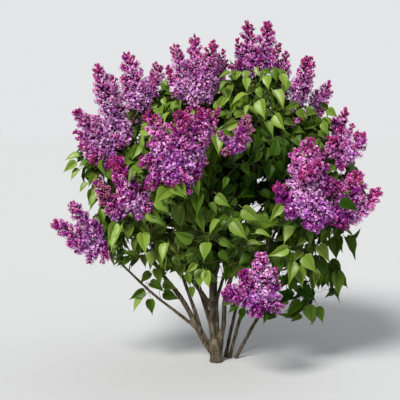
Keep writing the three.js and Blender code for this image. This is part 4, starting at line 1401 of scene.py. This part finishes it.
def head_parts(head, rng):
    """The stalks and the flowers of one head: place, facing, reach, openness, tint choice and height."""
    tip, foot, width, open_to, _, _ = head
    length = np.linalg.norm(tip - foot)
    axis = (tip - foot) / length
    bow = across(axis, rng) * length * rng.uniform(0.0, 0.04)

    def on_axis(t):
        return foot + axis * length * t + bow * (4 * t * (1 - t))

    lobes = []
    t, start = 0.03, rng.uniform(0, TURN)
    while t < 0.985:
        breadth = width / 2 * np.interp(t, HEAD_SHARES, HEAD_BREADTHS)
        puff = 0.0038 + 0.25 * breadth
        lean = math.radians(68 - 36 * t)
        count = 3 if breadth > 0.024 else 2
        for k in range(count):
            angle = start + k * TURN / count + rng.normal(scale=0.18)
            way = axis * math.cos(lean) + around(axis, KNOB_SIDE, angle) * math.sin(lean)
            reach = max((breadth * rng.uniform(0.86, 1.1) - 0.75 * puff) / math.sin(lean), 0.005)
            lobes.append((on_axis(t), way, reach, puff * rng.uniform(0.85, 1.12), t, rng.normal(scale=0.1)))
        start += TURN / count / 2 + 0.2
        t += (1.0 + 0.95 * t) * puff / length
    lobes.append((on_axis(0.93), axis, length * 0.05, 0.007, 0.97, 0.0))
    roots, ways, reaches, puffs, _, _ = (np.array(column) for column in zip(*lobes))
    ends = roots + ways * reaches[:, None]
    places, facings, backs, opens, tones_and_painted_shade, heights = [], [], [], [], [], []
    for root, way, reach, puff, height, mood in lobes:
        chance = 0.08 + 0.80 * float(smoothstep(1.5 * open_to, 0.45 * open_to, height + mood * 1.2))
        pitch = BUD_PITCH + (OPEN_PITCH - BUD_PITCH) * chance
        straight, cap = 0.7 * reach * TURN * puff, TURN * puff**2
        count = max(5, round((straight + cap) / pitch**2))
        spot = (np.arange(count) + 0.5) / count * (straight + cap)
        forward = np.where(spot < straight, 0.25, np.clip((spot - straight) / cap, 0, 1))
        along = np.where(spot < straight, 0.3 + 0.7 * spot / straight, 1.0)
        angle = np.arange(count) * GOLDEN_TURN + rng.normal(scale=0.25, size=count)
        round_it = around(way, FLOWER_SIDE, angle)
        aside = np.sqrt(np.maximum(1 - forward**2, 0.02))
        facing = unit(way * forward[:, None] + round_it * aside[:, None])
        rise = rng.uniform(0.62, 1.16, size=count)
        back = puff * rise
        places.append(root + way * (along * reach)[:, None] + facing * back[:, None])
        facings.append(facing)
        backs.append(back)
        opens.append(rng.uniform(size=count) < chance)
        # Flowers that stand further out get paler tints and sunk ones darker: painted shade in the knob's
        # hollows, on top of each knob's and each flower's random tone.
        tones_and_painted_shade.append(0.7 * mood + 0.9 * (rise - 0.89) + rng.normal(scale=0.17, size=count))
        heights.append(np.full(count, height))
    places, facings = np.vstack(places), np.vstack(facings)
    backs, opens, tones_and_painted_shade, heights = (np.concatenate(part) for part in (backs, opens, tones_and_painted_shade, heights))
    inner = places[:, None] - roots[None]
    run = np.clip(np.einsum("ijk,jk->ij", inner, ways) / reaches, 0.0, 1.0) * reaches
    gap = np.linalg.norm(inner - run[..., None] * ways[None], axis=2)
    keep = (gap > puffs * 0.68).all(axis=1)
    towards = places - foot
    level = towards @ axis
    keep &= level > -0.012
    outward = unit(towards - level[:, None] * axis)
    shut_in = (facings * outward).sum(axis=1) < -0.1
    keep &= ~(shut_in & (level > 0.2 * length) & (level < 0.9 * length))
    stalks = [(np.array([on_axis(s) for s in np.linspace(0, 0.97, 9)]), np.linspace(0.0018, 0.0006, 9), 4)]
    stalks += [(np.array((root, end)), np.array((0.0010, 0.0006)), 3) for root, end in zip(roots, ends)]
    flowers = [part[keep] for part in (places, facings, backs, opens, tones_and_painted_shade, heights)]
    # The dark core of each knob, which carries the painted shade between its flowers and stands for its shut
    # buds.
    shade_cores = (roots + ways * reaches[:, None] * 0.5, ways, reaches * 0.5 + puffs * 0.5, puffs * 0.62)
    return stalks, flowers, shade_cores


@functools.lru_cache
def blossom_plan():
    """All heads' stalks, their knobs' dark cores in painted shade, and their flowers sorted by kind and
    tint.
    """
    rng = np.random.default_rng(BLOSSOM_SEED)
    _, heads, _ = growth_plan()
    stalks, shade_cores, sorted_flowers = [], [], {name: [] for name in FLORET_TINTS + BUD_TINTS}
    for head in heads:
        _, _, _, open_to, pale, _ = head
        sticks, (places, facings, backs, opens, tones_and_painted_shade, heights), insides = head_parts(head, rng)
        stalks += sticks
        shade_cores.append(insides)
        share = heights / max(open_to, 0.2)
        base = (pale if pale >= FADED else 0.35) + 0.25
        # A floret's tint follows its head's paleness and its height, with its tone and painted shade.
        tint = np.clip(base - 0.5 * np.minimum(share, 0.9) + tones_and_painted_shade, 0, 1)
        older = np.digitize(-tint, OLDER_STEPS)
        younger = np.digitize(-tint, YOUNGER_STEPS)
        floret = np.where(share < (0.5 if open_to > 0.85 else 0.35), older, younger)
        # Buds darken towards the tip; sunk buds are painted darker and raised ones rose, as painted shade.
        dark = 1.1 * np.clip((heights - 0.45) / 0.4, 0, 1) - 2 * tones_and_painted_shade + 0.7 * (0.4 - pale)
        bud = np.digitize(-dark, BUD_STEPS)
        bud[(tones_and_painted_shade > -0.1) & (pale < FADED) & (heights > 0.4)] = BUD_TINTS.index("dusty")
        for names, chosen, picks in ((FLORET_TINTS, opens, floret), (BUD_TINTS, ~opens, bud)):
            for k, name in enumerate(names):
                wanted = chosen & (picks == k)
                sorted_flowers[name].append((places[wanted], facings[wanted], backs[wanted]))
    flowers = {}
    for name, rows in sorted_flowers.items():
        flowers[name] = [np.concatenate(column) for column in zip(*rows)]
    return stalks, [np.concatenate(column) for column in zip(*shade_cores)], flowers


# ---------------------------------------------------------------- settings


def colour_setting(name, value, description):
    """A colour as linear red, green and blue."""
    return bpy.props.FloatVectorProperty(
        name=name, description=description, subtype="COLOR", size=3, min=0, max=1, default=value
    )


class LilacStems(bpy.types.PropertyGroup):
    """Settings of the trunk and the bare stems."""

    voxel: bpy.props.FloatProperty(
        name="Bark detail",
        description="Spacing of the bark's mesh",
        default=0.0036,
        min=0.002,
        unit="LENGTH",
    )
    relief: bpy.props.FloatProperty(
        name="Bark relief",
        description="Depth of the furrows at the foot",
        default=0.0022,
        min=0,
        unit="LENGTH",
    )
    bark_ridge: colour_setting("Ridges", (0.112, 0.089, 0.056), "Colour of the bark's ridges")
    # The furrows' colour is partly the bark's own darker fissures and partly painted shade in them.
    bark_furrow: colour_setting("Furrows", (0.026, 0.019, 0.012), "Colour of the bark's furrows")
    bark_flake: colour_setting("Flakes", (0.20, 0.17, 0.125), "Colour of the pale flakes")


class LilacGrowth(bpy.types.PropertyGroup):
    """Settings of the branching rule."""

    shoot_spacing: bpy.props.FloatProperty(
        name="Shoot spacing", description="Least distance between leafy shoots", default=0.068, unit="LENGTH"
    )
    shoot_tries: bpy.props.IntProperty(
        name="Shoot tries", description="Places tried for leafy shoots", default=14000, min=1
    )
    shoot_radius: bpy.props.FloatProperty(
        name="Shoot radius", description="Radius at the tip of a leafy shoot", default=0.0013, unit="LENGTH"
    )
    head_twig_radius: bpy.props.FloatProperty(
        name="Head twig radius", description="Radius of a twig under a head", default=0.002, unit="LENGTH"
    )
    twig: colour_setting("Twigs", (0.062, 0.050, 0.028), "Colour of the boughs and twigs in the crown")


class LilacLeaves(bpy.types.PropertyGroup):
    """Settings of the leaves."""

    factor: bpy.props.FloatProperty(
        name="Size factor", description="All the leaves' size against the usual", default=1.0, min=0.1
    )
    # The greens are lit and shaded copies of one leaf: the lit leaf holds painted light, the inner leaf
    # painted shade, and the steps between are mixed through the middle green.
    light: colour_setting("Lit leaf", (0.160, 0.245, 0.030), "Colour of the outermost sprays")
    middle: colour_setting("Leaf", (0.050, 0.104, 0.005), "Colour of most sprays")
    deep: colour_setting("Inner leaf", (0.014, 0.042, 0.002), "Colour of the innermost sprays")
    rib: colour_setting("Midrib", (0.26, 0.33, 0.10), "Colour of midribs and leaf stalks")


class LilacBlossom(bpy.types.PropertyGroup):
    """Settings of the heads of blossom."""

    floret_width: bpy.props.FloatProperty(
        name="Floret width", description="Width of an open floret", default=0.0134, unit="LENGTH"
    )
    bud_width: bpy.props.FloatProperty(
        name="Bud width", description="Width of a closed bud", default=0.0058, unit="LENGTH"
    )
    pale: colour_setting("Pale florets", (0.90, 0.50, 0.86), "Colour of the palest open florets")
    lilac: colour_setting("Lilac florets", (0.51, 0.17, 0.61), "Colour of the middle open florets")
    orchid: colour_setting("Orchid florets", (0.73, 0.19, 0.55), "Colour of the pinker open florets")
    violet: colour_setting("Violet florets", (0.26, 0.020, 0.27), "Colour of the darkest open florets")
    maroon: colour_setting("Dark buds", (0.38, 0.026, 0.15), "Colour of the tip's buds")
    magenta: colour_setting("Buds", (0.60, 0.095, 0.34), "Colour of most buds")
    rose: colour_setting("Rose buds", (0.82, 0.40, 0.74), "Colour of the opening buds")
    dusty: colour_setting("Faded buds", (0.50, 0.22, 0.29), "Colour of the buds of a head that fades")
    # The insides are the dark cores of the knobs: painted shade deep in a head, on a stand-in for its shut
    # buds.
    inside: colour_setting("Insides", (0.10, 0.004, 0.070), "Colour of the shut buds deep in a head")
    stalk: colour_setting("Stalks", (0.15, 0.05, 0.08), "Colour of the stalks inside a head")


class LilacStage(bpy.types.PropertyGroup):
    """Settings of the floor and the light."""

    floor: colour_setting("Floor", (0.498, 0.506, 0.522), "Colour of the floor")
    key_strength: bpy.props.FloatProperty(
        name="Key light", description="Strength of the main light", default=4.6, min=0
    )
    ambient: bpy.props.FloatProperty(
        name="Even light", description="Strength of the light from all sides", default=0.42, min=0
    )
    backdrop: bpy.props.FloatProperty(
        name="Backdrop", description="Brightness of what is seen behind the bush", default=0.8, min=0
    )


# ---------------------------------------------------------------- operators


# Each lamp's source, share of the key light's strength, spread in degrees and colour.
LAMPS = {
    "key_light": ((-0.50, -0.85, 0.90), 1.0, 20, (1.0, 0.98, 0.93)),
    "fill_light": ((0.7, 0.75, 0.9), 0.16, 80, (0.95, 0.98, 1.0)),
}
SKY = (0.975, 0.985, 1.0, 1)
# Swelling of the stems: how much, how far apart the stems' patterns lie, and how fast it changes.
SWELL = (0.09, 9.0, 26)
BARK_THICKNESS = 0.0008
# Roughness of the bark high up, what the foot has more, and the height over which that fades.
ROUGH = (0.35, 0.65, 0.16)
# Pace across, pace along and weight of the bark's furrows, cracks and knots.
BARK_RELIEF = ((95, 15, 1.0), (210, 52, 0.5), (30, 22, 0.8))
# The radii from which a twig has six and four sides; a finer one has three.
SIX_SIDED = 0.005
FOUR_SIDED = 0.0022
# The levels of painted shade at which one green gives way to the next, from lit to most shaded.
LEAF_STEPS = (-0.35, 0.35, 1.1, 2.0, 3.1)
BUD_KINDS = (-0.16, -0.24)


def turns_facing(ways, rng):
    """Turns that carry Z to each of the ways, spun about it at random."""
    sides = across(ways, rng)
    return turns_of(sides, np.cross(ways, sides), ways)


class LILAC_OT_stage(bpy.types.Operator):
    """Set up the camera, the floor and the studio light"""

    bl_idname = "lilac.stage"
    bl_label = "Stage"

    def execute(self, context):
        settings = context.scene.lilac_stage
        camera = bpy.data.objects.new("camera", bpy.data.cameras.new("camera"))
        camera.location = FRONT_EYE
        camera.rotation_euler = (math.pi / 2 - CAMERA_PITCH, 0, 0)
        camera.data.lens = CAMERA_LENS
        camera.data.sensor_width = CAMERA_SENSOR
        context.scene.collection.objects.link(camera)
        context.scene.camera = camera
        disc = bmesh.new()
        bmesh.ops.create_circle(disc, cap_ends=True, segments=96, radius=60)
        mesh = bpy.data.meshes.new("floor")
        disc.to_mesh(mesh)
        disc.free()
        mesh.materials.append(plain_material("floor_paint", settings.floor, 0.9))
        floor = bpy.data.objects.new("floor", mesh)
        context.scene.collection.objects.link(floor)
        for name, (source, share, spread, tone) in LAMPS.items():
            lamp = bpy.data.lights.new(name, "SUN")
            lamp.energy = settings.key_strength * share
            lamp.angle = math.radians(spread)
            lamp.color = tone
            light = bpy.data.objects.new(name, lamp)
            light.rotation_euler = Vector(source).to_track_quat("Z", "Y").to_euler()
            context.scene.collection.objects.link(light)
        world = bpy.data.worlds.new("studio")
        world.use_nodes = True
        tree = world.node_tree
        background = tree.nodes["Background"].inputs
        background["Color"].default_value = SKY
        seen = output_of(tree, "ShaderNodeLightPath", "Is Camera Ray")
        sums = {0: seen, 1: settings.backdrop - settings.ambient, 2: settings.ambient}
        strength = output_of(tree, "ShaderNodeMath", "Value", sums, operation="MULTIPLY_ADD")
        tree.links.new(strength, background["Strength"])
        context.scene.world = world
        context.scene.view_settings.view_transform = "Standard"
        return {"FINISHED"}


class LILAC_OT_stems(bpy.types.Operator):
    """Make the trunk, stems and suckers with their bark in relief"""

    bl_idname = "lilac.stems"
    bl_label = "Stems"

    def execute(self, context):
        settings = context.scene.lilac_stems
        tubes = []
        for index, rows in enumerate(LIMBS.values()):
            path = smooth_path(np.array(rows) * MM, STEM_STEP)
            amount, apart, pace = SWELL
            swell = [1 + amount * noise.noise(Vector((apart * index, 0, pace * p[2]))) for p in path]
            tubes.append((path[:, :3], path[:, 3] * swell + BARK_THICKNESS, STEM_SIDES))
        holder = bpy.data.objects.new("stems", tubes_mesh("stems", tubes))
        context.scene.collection.objects.link(holder)
        fuse = holder.modifiers.new("Fuse", "REMESH")
        fuse.mode = "VOXEL"
        fuse.voxel_size = settings.voxel
        fuse.use_smooth_shade = True
        mesh = evaluated(holder)
        mesh.name = "stems"
        form = bmesh.new()
        form.from_mesh(mesh)
        every_way = {f"use_axis_{axis}": True for axis in "xyz"}
        for _ in range(2):
            bmesh.ops.smooth_vert(form, verts=form.verts, factor=0.5, **every_way)
        form.normal_update()
        least, more, fade = ROUGH
        for vertex in form.verts:
            x, y, z = vertex.co
            rough = least + more * math.exp(-max(z, 0) / fade)
            lump = 0
            for wide, high, weight in BARK_RELIEF:
                lump += weight * noise.noise(Vector((wide * x, wide * y, high * z)))
            vertex.co += vertex.normal * settings.relief * rough * lump
        everything = form.verts[:] + form.edges[:] + form.faces[:]
        ground = {"plane_co": (0, 0, 0), "plane_no": (0, 0, -1)}
        cut = bmesh.ops.bisect_plane(form, geom=everything, clear_outer=True, **ground)
        bmesh.ops.holes_fill(form, edges=[e for e in cut["geom_cut"] if isinstance(e, bmesh.types.BMEdge)])
        form.to_mesh(mesh)
        form.free()
        mesh.materials.clear()
        mesh.materials.append(bark_material(settings))
        shown("stems", mesh, STEM_NODES)
        return {"FINISHED"}


class LILAC_OT_boughs(bpy.types.Operator):
    """Grow the boughs and twigs of the crown on from the stems"""

    bl_idname = "lilac.boughs"
    bl_label = "Boughs and twigs"

    def execute(self, context):
        bush, _, _ = growth_plan()
        tubes = []
        for chain in bush.chains:
            radii = np.minimum(bush.radius[chain], bush.radius[chain[1]])
            sides = 6 if radii[0] > SIX_SIDED else 4 if radii[0] > FOUR_SIDED else 3
            tubes.append((bush.at[chain], radii, sides))
        mesh = tubes_mesh("boughs_and_twigs", tubes)
        mesh.materials.append(plain_material("young_bark", context.scene.lilac_growth.twig, 0.75))
        shown("boughs_and_twigs", mesh, MASS_NODES)
        return {"FINISHED"}


class LILAC_OT_leaves(bpy.types.Operator):
    """Hang the leaves on the twigs in six greens, lit to shaded, picked by painted shade and each spray's
    tone
    """

    bl_idname = "lilac.leaves"
    bl_label = "Leaves"

    def execute(self, context):
        settings = context.scene.lilac_leaves
        _, _, (feet, along, faces, sizes, kinds, tones_and_painted_shades) = growth_plan()
        shapes = shape_collection("leaf_shapes", [leaf_shape(k) for k in range(len(LEAF_KINDS))])
        light, middle, deep = (np.array(c) for c in (settings.light, settings.middle, settings.deep))
        # Each step is a copy of the leaf's materials at one level of painted shade, from lit to deep in
        # shadow.
        for step in range(len(LEAF_STEPS) + 1):
            wanted = np.digitize(tones_and_painted_shades, LEAF_STEPS) == step
            share = step / len(LEAF_STEPS)
            # The lit copies are given more gloss than the shaded ones.
            gloss = 0.26 - 0.20 * share
            if share < 0.5:
                colour = light + (middle - light) * share * 2
            else:
                colour = middle + (deep - middle) * (share * 2 - 1)
            # The midrib is paler than the blade and takes the same painted shade.
            rib = 0.55 * np.array(settings.rib) * (1.1 - 0.75 * share) + 0.45 * colour
            name = f"leaves_{step + 1}"
            mesh = scattered(
                name,
                shapes,
                feet[wanted],
                turns_of(np.cross(along[wanted], faces[wanted]), along[wanted], faces[wanted]),
                np.repeat(sizes[wanted, None] * settings.factor, 3, axis=1),
                kinds[wanted],
                smallest_size=0.94,
                largest_size=1.06,
                free_spin=0.0,
                seed=step,
                face_material=plain_material(f"leaf_green_{step + 1}", colour, 0.38, gloss),
                stalk_material=plain_material(f"leaf_rib_{step + 1}", rib, 0.5),
            )
            shown(name, mesh, MASS_NODES)
        return {"FINISHED"}


class LILAC_OT_blossom(bpy.types.Operator):
    """Make the heads of blossom: stalks, open florets and buds"""

    bl_idname = "lilac.blossom"
    bl_label = "Blossom"

    def execute(self, context):
        settings = context.scene.lilac_blossom
        stalks, (centres, ways, lengths, widths), flowers = blossom_plan()
        mesh = tubes_mesh("blossom_stalks", stalks)
        mesh.materials.append(plain_material("blossom_stalk", settings.stalk, 0.6))
        shown("blossom_stalks", mesh, BLOSSOM_NODES)
        rng = np.random.default_rng(BLOSSOM_SEED)
        # The cores' dark colour is painted shade between the flowers.
        inside = plain_material("blossom_inside", settings.inside, 0.8, 0.05)
        mesh = scattered(
            "blossom_insides",
            shape_collection("knob_shapes", [knob_shape()]),
            centres,
            turns_facing(ways, rng),
            np.stack((widths, widths, lengths), axis=1),
            np.zeros(len(centres)),
            smallest_size=0.9,
            largest_size=1.1,
            free_spin=TURN,
            seed=0,
            face_material=inside,
            stalk_material=inside,
        )
        shown("blossom_insides", mesh, BLOSSOM_NODES)
        florets = [floret_shape(k, *kind) for k, kind in enumerate(FLORET_KINDS)]
        buds = [bud_shape(k, kind) for k, kind in enumerate(BUD_KINDS)]
        open_shapes = shape_collection("floret_shapes", florets)
        bud_shapes = shape_collection("bud_shapes", buds)
        for order, (tint, (places, facings, backs)) in enumerate(flowers.items()):
            is_open = tint in FLORET_TINTS
            shapes = open_shapes if is_open else bud_shapes
            colour = np.array(getattr(settings, tint))
            width = settings.floret_width if is_open else settings.bud_width
            widths = np.full(len(places), width)
            name = f"{'florets' if is_open else 'buds'}_{tint}"
            mesh = scattered(
                name,
                shapes,
                places,
                turns_facing(facings, rng),
                np.stack((widths, widths, backs), axis=1),
                rng.integers(len(shapes.objects), size=len(places)),
                smallest_size=0.85,
                largest_size=1.12,
                free_spin=TURN,
                seed=order,
                face_material=plain_material(name, colour, 0.6, 0.08),
                # The tube is a copy of the floret's colour at 0.4: painted shade down its throat.
                stalk_material=plain_material(name + "_tube", colour * 0.4, 0.6, 0.08),
            )
            shown(name, mesh, BLOSSOM_NODES)
        return {"FINISHED"}


class LILAC_PT_panel(bpy.types.Panel):
    """The lilac's steps in the sidebar"""

    bl_label = "Lilac bush"
    bl_idname = "LILAC_PT_panel"
    bl_space_type = "VIEW_3D"
    bl_region_type = "UI"
    bl_category = "Lilac"

    def draw(self, context):
        for operator, group in STEPS:
            box = self.layout.box()
            box.operator(operator)
            settings = getattr(context.scene, group)
            for name in type(settings).__annotations__:
                box.prop(settings, name)


STEPS = (
    ("lilac.stage", "lilac_stage"),
    ("lilac.stems", "lilac_stems"),
    ("lilac.boughs", "lilac_growth"),
    ("lilac.leaves", "lilac_leaves"),
    ("lilac.blossom", "lilac_blossom"),
)
SETTINGS = {
    "lilac_stage": LilacStage,
    "lilac_stems": LilacStems,
    "lilac_growth": LilacGrowth,
    "lilac_leaves": LilacLeaves,
    "lilac_blossom": LilacBlossom,
}
CLASSES = (
    *SETTINGS.values(),
    LILAC_OT_stage,
    LILAC_OT_stems,
    LILAC_OT_boughs,
    LILAC_OT_leaves,
    LILAC_OT_blossom,
    LILAC_PT_panel,
)


def register():
    for kind in CLASSES:
        bpy.utils.register_class(kind)
    for name, kind in SETTINGS.items():
        setattr(bpy.types.Scene, name, bpy.props.PointerProperty(type=kind))


def unregister():
    for name in SETTINGS:
        delattr(bpy.types.Scene, name)
    for kind in reversed(CLASSES):
        bpy.utils.unregister_class(kind)


def main():
    """Builds the whole bush."""
    register()
    for operator, _ in STEPS:
        family, name = operator.split(".")
        getattr(getattr(bpy.ops, family), name)()


if __name__ == "__main__":
    main()
